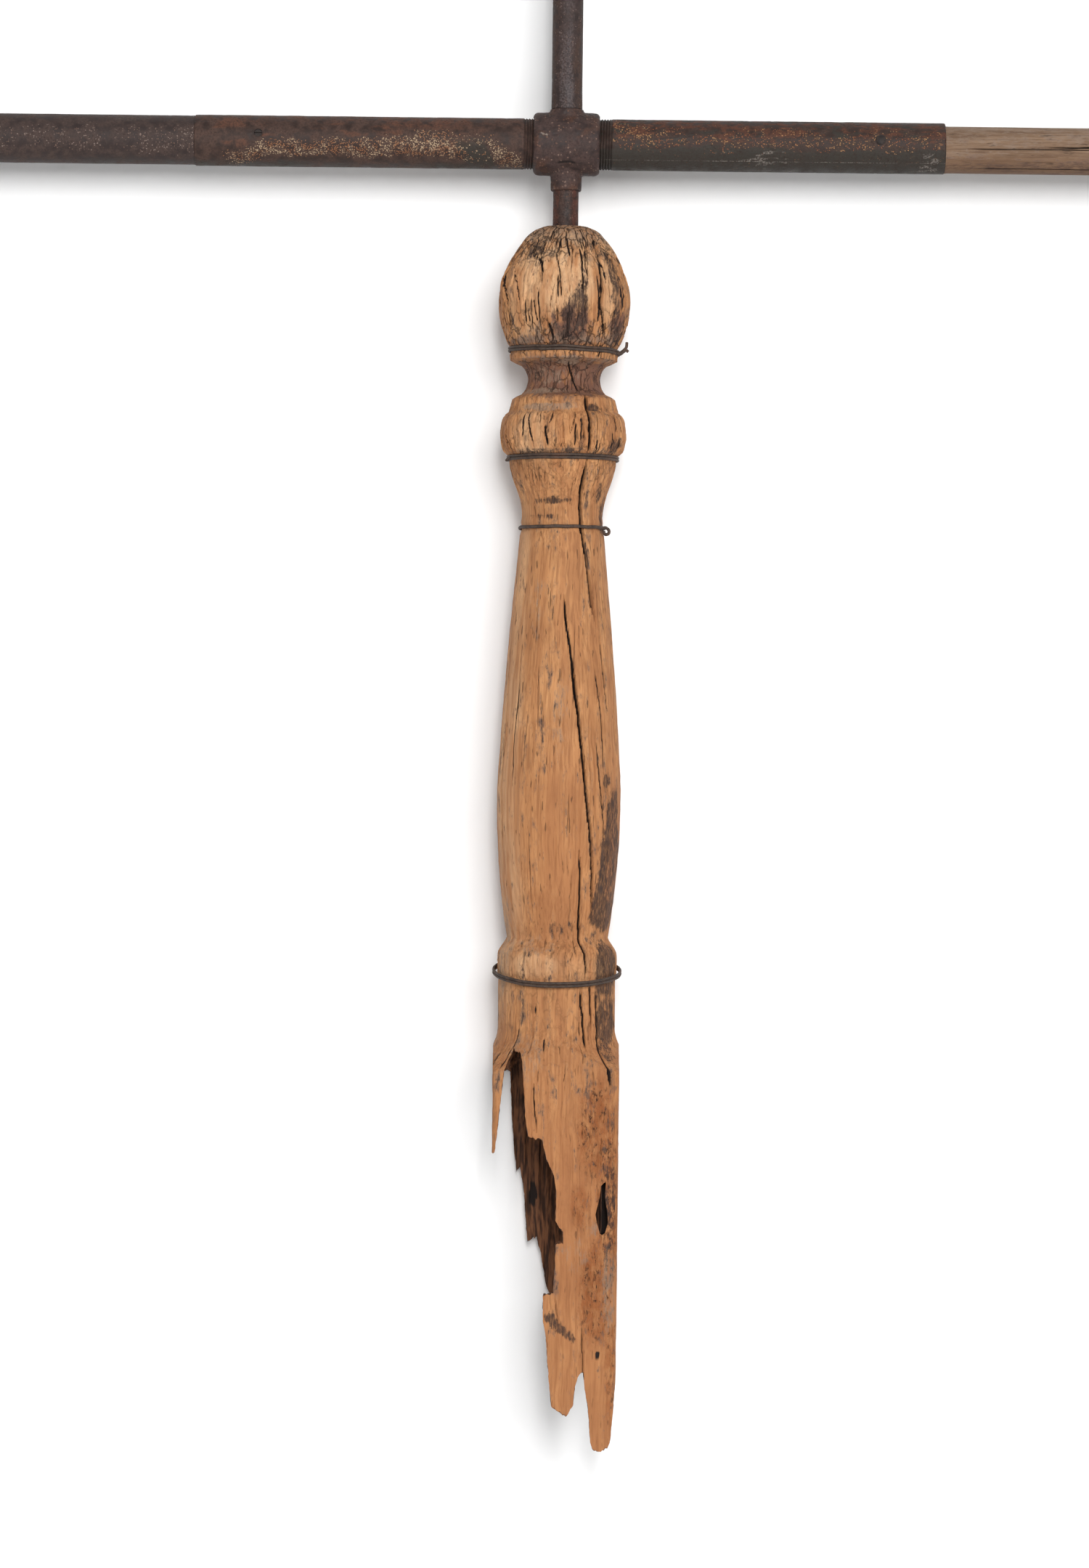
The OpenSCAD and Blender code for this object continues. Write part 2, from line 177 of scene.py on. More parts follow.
def turn_outward(piece: bpy.types.Object) -> None:
    """Flips a closed mesh whose faces look inward."""
    mesh = piece.data
    mesh.calc_loop_triangles()
    corners = np.zeros(len(mesh.loop_triangles) * 3, int)
    mesh.loop_triangles.foreach_get("vertices", corners)
    triangles = points_of(piece)[corners].reshape(-1, 3, 3)
    volume = np.einsum("ij,ij->i", triangles[:, 0], np.cross(triangles[:, 1], triangles[:, 2])).sum()
    if volume < 0:
        mesh.flip_normals()


def soften(piece: bpy.types.Object, crease: float) -> None:
    """Shades a piece smooth, and keeps edges over crease degrees sharp."""
    piece.data.shade_smooth()
    piece.data.set_sharp_from_angle(angle=math.radians(crease))


def points_of(piece: bpy.types.Object) -> Array:
    """A piece's vertices in millimetres."""
    flat = np.zeros(len(piece.data.vertices) * 3)
    piece.data.vertices.foreach_get("co", flat)
    return flat.reshape(-1, 3) / MM


def move_points(piece: bpy.types.Object, points: Array) -> None:
    """Puts a piece's vertices at new places, in millimetres."""
    piece.data.vertices.foreach_set("co", (points * MM).ravel())
    piece.data.update()


def set_mark(piece: bpy.types.Object, name: str, values: Array) -> None:
    """Stores one value from 0 to 1 at each vertex, for the finish to read."""
    mark = piece.data.attributes.get(name) or piece.data.attributes.new(name, "FLOAT", "POINT")
    mark.data.foreach_set("value", np.clip(values, 0, 1).astype(np.float32))


def bake_modifiers(piece: bpy.types.Object) -> None:
    """Turns a piece's modifiers into plain mesh."""
    graph = bpy.context.evaluated_depsgraph_get()
    mesh = bpy.data.meshes.new_from_object(piece.evaluated_get(graph))
    piece.modifiers.clear()
    piece.data = mesh
    mesh.name = piece.name


def cut(piece: bpy.types.Object, cutter: bpy.types.Object) -> None:
    """Cuts another closed mesh away from a piece, and removes that mesh.

    Args:
        piece: What is cut.
        cutter: The closed mesh that is cut away.
    """
    modifier = piece.modifiers.new("cut", "BOOLEAN")
    modifier.operation, modifier.solver, modifier.object = "DIFFERENCE", "MANIFOLD", cutter
    bake_modifiers(piece)
    bpy.data.objects.remove(cutter)


def capped_tube(rings: Array) -> tuple[Array, list]:
    """A tube whose two ends are closed by fans.

    Args:
        rings: Points as rings by columns by 3.

    Returns:
        Its points and its faces.
    """
    rows, columns = rings.shape[:2]
    points = np.concatenate([rings.reshape(-1, 3), rings[:1].mean(1), rings[-1:].mean(1)])
    faces = grid_faces(rows, columns).tolist()
    first, last, start = rows * columns, rows * columns + 1, (rows - 1) * columns
    for column in range(columns):
        after = (column + 1) % columns
        faces.append([after, column, first])
        faces.append([start + column, start + after, last])
    return points, faces


def rod_points(path: Array, radius: Array, sides: int) -> Array:
    """Rings round a path, without twist.

    Args:
        path: Points of the centre line.
        radius: The radius at each point.
        sides: Number of points in a ring.

    Returns:
        Points as rings by columns by 3.
    """
    along = np.gradient(path, axis=0)
    along /= np.linalg.norm(along, axis=1, keepdims=True)
    side = np.cross(along[0], [0.3, 0.2, 1.0])
    turn = np.linspace(0, 2 * np.pi, sides, endpoint=False)
    rings = []
    for point, heading, size in zip(path, along, np.broadcast_to(radius, len(path))):
        side = side - heading * (side @ heading)
        side /= np.linalg.norm(side)
        other = np.cross(heading, side)
        rings.append(point + size * (np.cos(turn)[:, None] * side + np.sin(turn)[:, None] * other))
    return np.array(rings)


def join(pieces: Sequence[bpy.types.Object], name: str) -> bpy.types.Object:
    """Puts several pieces into one mesh object."""
    first = pieces[0]
    with bpy.context.temp_override(active_object=first, selected_editable_objects=list(pieces)):
        bpy.ops.object.join()
    first.name = first.data.name = name
    return first


# ---------------------------------------------------------------- finishes

LIGHT_LEVEL = 1.3
IRON_LEVEL = 1.75


def paint(red: float, green: float, blue: float, level: float = LIGHT_LEVEL) -> Colour:
    """A surface colour from its look in light of some level, 0 to 255 a channel."""
    channels = []
    for channel in (red, green, blue):
        value = channel / 255
        linear = value / 12.92 if value <= 0.04045 else ((value + 0.055) / 1.055) ** 2.4
        channels.append(linear / level)
    return tuple(channels)


def iron(red: float, green: float, blue: float) -> Colour:
    """An iron colour from its look in full light, less the shine that comes on top."""
    return paint(red, green, blue, IRON_LEVEL)


class Graph:
    """Adds and links the nodes of one shader tree."""

    def __init__(self, tree: bpy.types.NodeTree) -> None:
        """Works on the given tree."""
        self.tree = tree

    def feed(self, socket: bpy.types.NodeSocket, value: object) -> None:
        """Links a socket to another, or sets its value."""
        if isinstance(value, bpy.types.NodeSocket):
            self.tree.links.new(value, socket)
        elif socket.type == "RGBA" and len(value) == 3:
            socket.default_value = (*value, 1)
        else:
            socket.default_value = value

    def add(self, kind: str, inputs: Optional[dict] = None, **settings: object) -> bpy.types.Node:
        """Adds a node.

        Args:
            kind: The node's type name.
            inputs: What goes into each socket, by name or number.
            **settings: The node's own settings.

        Returns:
            The node.
        """
        node = self.tree.nodes.new(kind)
        for key, value in settings.items():
            setattr(node, key, value)
        for key, value in (inputs or {}).items():
            self.feed(node.inputs[key], value)
        return node

    def math(self, operation: str, first: object, second: object = 0.0) -> bpy.types.NodeSocket:
        """A Math node's result."""
        return self.add("ShaderNodeMath", {0: first, 1: second}, operation=operation).outputs[0]

    def times(self, first: object, second: object) -> bpy.types.NodeSocket:
        """The first value times the second."""
        return self.math("MULTIPLY", first, second)

    def plus(self, first: object, second: object) -> bpy.types.NodeSocket:
        """The sum of two values."""
        return self.math("ADD", first, second)

    def minus(self, first: object, second: object) -> bpy.types.NodeSocket:
        """The first value less the second."""
        return self.math("SUBTRACT", first, second)

    def mix(self, share: object, first: object, second: object) -> bpy.types.NodeSocket:
        """A colour between two others."""
        node = self.add("ShaderNodeMix", {0: share, 6: first, 7: second}, data_type="RGBA")
        return node.outputs[2]

    def rise(self, value: object, low: float, high: float, top: float = 1.0) -> bpy.types.NodeSocket:
        """A smooth rise from 0 at low to top at high."""
        inputs = {"Value": value, "From Min": low, "From Max": high, "To Min": 0.0, "To Max": top}
        return self.add("ShaderNodeMapRange", inputs, interpolation_type="SMOOTHSTEP").outputs[0]

    def stretch(self, vector: object, scale: Colour) -> bpy.types.NodeSocket:
        """A vector with each part scaled."""
        return self.add("ShaderNodeVectorMath", {0: vector, 1: scale}, operation="MULTIPLY").outputs[0]

    def noise(self, vector: object, scale: object, detail: float = 3, roughness: float = 0.55,
              distortion: float = 0.0) -> bpy.types.NodeSocket:
        """A Noise Texture's value."""
        inputs = {"Vector": vector, "Scale": scale, "Detail": detail, "Roughness": roughness,
                  "Distortion": distortion}
        return self.add("ShaderNodeTexNoise", inputs).outputs["Fac"]

    def mark(self, name: str) -> bpy.types.NodeSocket:
        """A value that is stored at the vertices."""
        return self.add("ShaderNodeAttribute", attribute_name=name).outputs["Fac"]

    def place(self) -> bpy.types.NodeSocket:
        """The object's own coordinates, in metres."""
        return self.add("ShaderNodeTexCoord").outputs["Object"]


def new_group(name: str, inputs: dict, outputs: Sequence[str]) -> tuple[bpy.types.NodeTree, Graph]:
    """An empty shader node group with named sockets.

    Args:
        name: The group's name.
        inputs: Socket type and first value by input name.
        outputs: Names of the value outputs.

    Returns:
        The group and the graph that fills it.
    """
    group = bpy.data.node_groups.new(name, "ShaderNodeTree")
    for key, (kind, value) in inputs.items():
        socket = group.interface.new_socket(name=key, in_out="INPUT", socket_type=kind)
        if value is not None:
            socket.default_value = value
    for key in outputs:
        group.interface.new_socket(name=key, in_out="OUTPUT", socket_type="NodeSocketFloat")
    return group, Graph(group)


def grain_group() -> bpy.types.NodeTree:
    """Wood grain: broad streaks, fine fibres, short dark dashes and a net of small cracks."""
    inputs = {"Vector": ("NodeSocketVector", None), "Width": ("NodeSocketFloat", 1.0)}
    group, graph = new_group("wood_grain", inputs, ["Streak", "Fibre", "Dash", "Net"])
    source = graph.add("NodeGroupInput").outputs
    scaled = graph.add("ShaderNodeVectorMath", {0: source["Vector"], "Scale": source["Width"]},
                       operation="SCALE").outputs[0]
    bend = graph.noise(scaled, 18.0, 2)
    offset = graph.add("ShaderNodeCombineXYZ", {0: bend, 1: bend, 2: 0.0}).outputs[0]
    bent = graph.add("ShaderNodeVectorMath", {0: offset, 1: (0.006, 0.006, 0.0), 2: scaled},
                     operation="MULTIPLY_ADD").outputs[0]
    streak = graph.noise(graph.stretch(bent, (1, 1, 0.06)), 95.0, 4, 0.6)
    fibre = graph.noise(graph.stretch(bent, (1, 1, 0.035)), 520.0, 3, 0.65)
    dash = graph.noise(graph.stretch(bent, (1, 1, 0.13)), 430.0, 2, 0.5)
    jolt = graph.add("ShaderNodeTexNoise", {"Vector": scaled, "Scale": 150.0, "Detail": 3.0}).outputs["Color"]
    jolted = graph.add("ShaderNodeVectorMath", {0: jolt, 1: (0.007, 0.007, 0.014), 2: bent},
                       operation="MULTIPLY_ADD").outputs[0]
    cells = graph.add("ShaderNodeTexVoronoi", {"Vector": graph.stretch(jolted, (1, 1, 0.4)),
                                               "Scale": 165.0, "Randomness": 1.0},
                      feature="DISTANCE_TO_EDGE").outputs["Distance"]
    broken = graph.rise(graph.noise(scaled, 70.0, 2), 0.36, 0.5)
    sink = graph.add("NodeGroupOutput")
    graph.feed(sink.inputs["Streak"], streak)
    graph.feed(sink.inputs["Fibre"], fibre)
    graph.feed(sink.inputs["Dash"], dash)
    lines = graph.minus(1.0, graph.rise(cells, 0.015, 0.11))
    graph.feed(sink.inputs["Net"], graph.times(lines, broken))
    return group


def rust_group() -> bpy.types.NodeTree:
    """Old iron: broad stains, mottling, fine speckle and pits."""
    inputs = {"Vector": ("NodeSocketVector", None), "Size": ("NodeSocketFloat", 1.0)}
    group, graph = new_group("rust_pitting", inputs, ["Stain", "Mottle", "Speckle", "Pits", "Height"])
    source = graph.add("NodeGroupInput").outputs
    scaled = graph.add("ShaderNodeVectorMath", {0: source["Vector"], "Scale": source["Size"]},
                       operation="SCALE").outputs[0]
    stain = graph.noise(scaled, 26.0, 4, 0.6, 0.4)
    mottle = graph.noise(scaled, 120.0, 4, 0.62)
    speckle = graph.noise(scaled, 640.0, 2, 0.6)
    cells = graph.add("ShaderNodeTexVoronoi", {"Vector": scaled, "Scale": 330.0}).outputs["Distance"]
    pits = graph.times(graph.minus(1.0, graph.rise(cells, 0.1, 0.42)),
                      graph.rise(mottle, 0.46, 0.62))
    height = graph.plus(graph.times(mottle, 0.7), graph.times(speckle, 0.45))
    sink = graph.add("NodeGroupOutput")
    graph.feed(sink.inputs["Stain"], stain)
    graph.feed(sink.inputs["Mottle"], mottle)
    graph.feed(sink.inputs["Speckle"], speckle)
    graph.feed(sink.inputs["Pits"], pits)
    graph.feed(sink.inputs["Height"], graph.minus(height, graph.times(pits, 0.8)))
    return group


def fleck_group() -> bpy.types.NodeTree:
    """Flecks of old paint that have held on where a zone allows them."""
    inputs = {"Vector": ("NodeSocketVector", None), "Zone": ("NodeSocketFloat", 0.0),
              "Scale": ("NodeSocketFloat", 300.0)}
    group, graph = new_group("paint_flecks", inputs, ["Mask"])
    source = graph.add("NodeGroupInput").outputs
    jolt = graph.add("ShaderNodeTexNoise", {"Vector": source["Vector"], "Scale": source["Scale"],
                                            "Detail": 2.0}).outputs["Color"]
    jolted = graph.add("ShaderNodeVectorMath", {0: jolt, 1: (0.0016, 0.0016, 0.0016), 2: source["Vector"]},
                       operation="MULTIPLY_ADD").outputs[0]
    cells = graph.add("ShaderNodeTexVoronoi", {"Vector": jolted, "Scale": source["Scale"]})
    chance = graph.add("ShaderNodeSeparateColor", {0: cells.outputs["Color"]}).outputs[0]
    broad = graph.noise(source["Vector"], graph.times(source["Scale"], 0.16), 3, 0.6)
    zone = graph.plus(source["Zone"], graph.times(graph.minus(broad, 0.5), 0.6))
    kept = graph.rise(graph.minus(zone, chance), 0.0, 0.05)
    spot = graph.minus(1.0, graph.rise(cells.outputs["Distance"], 0.3, 0.52))
    mask = graph.times(graph.times(kept, spot), graph.rise(source["Zone"], 0.02, 0.12))
    graph.feed(graph.add("NodeGroupOutput").inputs["Mask"], mask)
    return group


class Effects:
    """The shared node groups, each made once."""

    made: dict[str, bpy.types.NodeTree] = {}

    @classmethod
    def get(cls, make: Callable[[], bpy.types.NodeTree]) -> bpy.types.NodeTree:
        """The group that make builds."""
        if make.__name__ not in cls.made:
            cls.made[make.__name__] = make()
        return cls.made[make.__name__]


def new_material(name: str) -> tuple[bpy.types.Material, Graph, bpy.types.Node]:
    """A material with an empty Principled shader.

    Args:
        name: The material's name.

    Returns:
        The material, its graph and the shader.
    """
    material = bpy.data.materials.new(name)
    material.use_nodes = True
    material.node_tree.nodes.clear()
    graph = Graph(material.node_tree)
    shader = graph.add("ShaderNodeBsdfPrincipled")
    graph.add("ShaderNodeOutputMaterial", {"Surface": shader.outputs[0]})
    return material, graph, shader


@dataclass(frozen=True)
class WoodFinish:
    """Weathered wood.

    It reads the marks cream, tan, check, stain, blush, inside, grey, torn, net and dashes.
    Check and the low places of torn patches are painted shade, inside is partly the rotted wood's own dark
    brown and partly painted shade, and some cream and grey is painted light.
    """

    name: str
    light: Colour
    middle: Colour
    deep: Colour
    grey: Colour
    stain: Colour
    blush: Colour
    inside: Colour
    inside_light: Colour
    check: Colour
    torn: Colour
    cream: Colour
    tan: Colour
    turn: Colour = (0.0, 0.0, 0.0)
    width: float = 1.0
    bump: float = 0.55

    def build(self) -> bpy.types.Material:
        """The material."""
        material, graph, shader = new_material(self.name)
        place = graph.add("ShaderNodeMapping", {"Vector": graph.place(), "Rotation": self.turn}).outputs[0]
        grain = graph.add("ShaderNodeGroup", node_tree=Effects.get(grain_group))
        graph.feed(grain.inputs["Vector"], place)
        graph.feed(grain.inputs["Width"], self.width)
        streak, fibre, dash, net = (grain.outputs[key] for key in ("Streak", "Fibre", "Dash", "Net"))
        cloud = graph.noise(place, 24.0 * self.width, 3)

        colour = graph.mix(graph.rise(streak, 0.36, 0.66), self.middle, self.light)
        colour = graph.mix(graph.rise(fibre, 0.58, 0.36, 0.55), colour, self.deep)
        colour = graph.mix(graph.rise(cloud, 0.42, 0.66, 0.28), colour, self.deep)
        colour = graph.mix(graph.rise(graph.mark("tan"), 0.0, 1.0, 0.5), colour, self.tan)
        # Cream is partly a paler wood colour and partly painted light down the post's left side.
        streaked = graph.rise(streak, 0.28, 0.62, 0.8)
        cream = graph.times(graph.rise(graph.mark("cream"), 0.0, 1.0), streaked)
        colour = graph.mix(cream, colour, self.cream)
        torn = graph.mark("torn")
        blotch = graph.noise(graph.stretch(place, (1, 1, 0.5)), 160.0 * self.width, 4, 0.65)
        rags = graph.noise(graph.stretch(place, (1, 1, 0.45)), 330.0 * self.width, 4, 0.7)
        patched = graph.times(torn, graph.rise(blotch, 0.35, 0.6, 0.8))
        colour = graph.mix(patched, colour, self.torn)
        # Painted shade: where the torn relief is lowest, the colour goes to deep brown and then to the
        # hollow's dark brown, as the shadow in its pits and crevices.
        painted_pit_shade = graph.times(torn, graph.rise(rags, 0.5, 0.38, 0.75))
        colour = graph.mix(painted_pit_shade, colour, self.deep)
        painted_crevice_shade = graph.times(torn, graph.rise(rags, 0.43, 0.35, 0.85))
        colour = graph.mix(painted_crevice_shade, colour, self.inside)
        ragged = graph.math("MULTIPLY_ADD", streak, 1.7)
        graph.feed(ragged.node.inputs[2], -0.85)
        ragged = graph.plus(ragged, graph.times(graph.minus(blotch, 0.5), 2.0))
        edge = graph.plus(ragged, graph.times(graph.minus(fibre, 0.5), 0.9))

        blush = graph.rise(graph.plus(graph.mark("blush"), edge), 0.1, 0.8)
        colour = graph.mix(graph.times(blush, 0.85), colour, self.blush)
        grit = graph.noise(graph.stretch(place, (1, 1, 0.22)), 700.0 * self.width, 3, 0.7)
        edge = graph.plus(edge, graph.times(graph.minus(grit, 0.5), 1.6))
        patchy = graph.rise(grit, 0.3, 0.62, 0.4)
        # Grey is weathered wood, and at the left edge of the block and shoulder a painted highlight.
        grey = graph.rise(graph.plus(graph.mark("grey"), edge), 0.15, 1.0)
        colour = graph.mix(graph.times(grey, graph.plus(patchy, 0.42)), colour, self.grey)
        stain = graph.rise(graph.plus(graph.mark("stain"), edge), 0.25, 0.9)
        colour = graph.mix(graph.times(stain, graph.plus(patchy, 0.52)), colour, self.stain)
        dashes = graph.times(graph.rise(dash, 0.645, 0.7), graph.mark("dashes"))
        colour = graph.mix(graph.times(dashes, 0.75), colour, self.check)
        nets = graph.times(net, graph.mark("net"))
        colour = graph.mix(graph.times(nets, 0.85), colour, self.check)
        # Partly the rotted wood's own colour and partly painted shade: inside the hollow and on the breaks
        # the colour turns to a dark, ribbed brown.
        ribs = graph.plus(graph.times(fibre, 0.5), graph.times(dash, 0.5))
        hollow = graph.mix(graph.rise(ribs, 0.4, 0.6), self.inside, self.inside_light)
        colour = graph.mix(graph.mark("inside"), colour, hollow)
        # Painted shade: the check mark paints cracks, splits, nail holes and the deep part of the knot hole
        # near black, as the shadow inside them.
        check = graph.rise(graph.mark("check"), 0.2, 0.62)
        colour = graph.mix(check, colour, self.check)
        graph.feed(shader.inputs["Base Color"], colour)

        height = graph.plus(graph.times(fibre, 0.8), graph.times(streak, 0.5))
        height = graph.minus(height, graph.times(nets, 1.3))
        height = graph.plus(height, graph.times(graph.times(torn, rags), 6.0))
        inner_dash = graph.times(graph.mark("inside"), dash)
        height = graph.plus(height, graph.times(inner_dash, 2.5))
        height = graph.minus(height, dashes)
        bump = graph.add("ShaderNodeBump", {"Height": height, "Strength": self.bump, "Distance": 0.0007})
        graph.feed(shader.inputs["Normal"], bump.outputs[0])
        graph.feed(shader.inputs["Roughness"], graph.rise(streak, 0.2, 0.9, 0.9))
        shader.inputs["Roughness"].links[0].from_node.inputs["To Min"].default_value = 0.7
        shader.inputs["Specular IOR Level"].default_value = 0.22
        return material


@dataclass(frozen=True)
class IronFinish:
    """Rusted iron that reads the marks fleck, green, warm, pale and dark; dark is painted shade in grooves,
    bores and a crescent under the cross.
    """

    name: str
    base: Colour
    deep: Colour
    warm: Colour
    green: Colour
    pale: Colour
    fleck: Colour
    rust_fleck: Colour
    fleck_scale: float = 300.0
    size: float = 1.0
    bump: float = 0.6
    metallic: float = 0.0
    roughness: float = 0.62

    def build(self) -> bpy.types.Material:
        """The material."""
        material, graph, shader = new_material(self.name)
        place = graph.place()
        rust = graph.add("ShaderNodeGroup", node_tree=Effects.get(rust_group))
        graph.feed(rust.inputs["Vector"], place)
        graph.feed(rust.inputs["Size"], self.size)
        stain, mottle, speckle = (rust.outputs[key] for key in ("Stain", "Mottle", "Speckle"))
        wander = graph.times(graph.minus(stain, 0.5), 1.6)

        colour = graph.mix(graph.rise(mottle, 0.34, 0.64), self.deep, self.base)
        warm = graph.rise(graph.plus(graph.mark("warm"), wander), 0.3, 0.8)
        warm = graph.times(warm, graph.rise(mottle, 0.3, 0.55))
        colour = graph.mix(graph.times(warm, 0.85), colour, self.warm)
        green = graph.rise(graph.plus(graph.mark("green"), wander), 0.35, 0.8)
        colour = graph.mix(graph.times(green, 0.85), colour, self.green)
        pale = graph.rise(graph.plus(graph.mark("pale"), wander), 0.4, 0.9)
        pale = graph.times(pale, graph.rise(speckle, 0.4, 0.6))
        colour = graph.mix(graph.times(pale, 0.75), colour, self.pale)
        grit = graph.times(graph.rise(speckle, 0.56, 0.36), 0.5)
        colour = graph.mix(grit, colour, self.deep)
        colour = graph.mix(graph.times(rust.outputs["Pits"], 0.55), colour, self.deep)

        flecks = graph.add("ShaderNodeGroup", node_tree=Effects.get(fleck_group))
        graph.feed(flecks.inputs["Vector"], place)
        graph.feed(flecks.inputs["Zone"], graph.mark("fleck"))
        graph.feed(flecks.inputs["Scale"], self.fleck_scale)
        fleck_colour = graph.mix(graph.rise(mottle, 0.42, 0.6), self.rust_fleck, self.fleck)
        colour = graph.mix(graph.times(flecks.outputs["Mask"], 0.92), colour, fleck_colour)
        # Painted shade: the dark mark turns thread grooves, the insides of bores, the rim of the screw hole
        # and a crescent under the cross near black.
        colour = graph.mix(graph.mark("dark"), colour, tuple(part * 0.25 for part in self.deep))
        graph.feed(shader.inputs["Base Color"], colour)

        raised = graph.times(flecks.outputs["Mask"], 0.3)
        height = graph.plus(rust.outputs["Height"], raised)
        bump = graph.add("ShaderNodeBump", {"Height": height, "Strength": self.bump, "Distance": 0.0006})
        graph.feed(shader.inputs["Normal"], bump.outputs[0])
        rough = graph.rise(mottle, 0.3, 0.7, min(self.roughness + 0.15, 1))
        rough.node.inputs["To Min"].default_value = self.roughness - 0.1
        graph.feed(shader.inputs["Roughness"], rough)
        shader.inputs["Metallic"].default_value = self.metallic
        shader.inputs["Specular IOR Level"].default_value = 0.2
        return material


def dress(piece: bpy.types.Object, material: bpy.types.Material) -> None:
    """Gives the whole piece one material."""
    piece.data.materials.clear()
    piece.data.materials.append(material)
    piece.data.polygons.foreach_set("material_index", [0] * len(piece.data.polygons))


def settle(piece: bpy.types.Object, body: str, slot: str, *nodes: str) -> None:
    """Puts a finished piece on its body and in place of its CAD nodes."""
    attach(piece, body)
    if nodes:
        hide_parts(*nodes)
    log.info("%s: %d faces on %s", piece.name, len(piece.data.polygons), body)


# ---------------------------------------------------------------- the post


@dataclass(frozen=True)
class Crack:
    """A long split in the front of the post: its line as (height, sideways), in millimetres."""

    line: tuple[tuple[float, float], ...]
    width: float
    depth: float


@dataclass(frozen=True)
class Patch:
    """A marked place on the front of the post: sideways, height and its two half sizes."""

    x: float
    z: float
    half_width: float
    half_height: float
    strength: float = 1.0
    lean: float = 0.0


@dataclass(frozen=True)
class Checks:
    """Many short drying cracks all round one stretch of the post."""

    low: float
    high: float
    count: int
    length: tuple[float, float]
    width: tuple[float, float]
    depth: tuple[float, float]


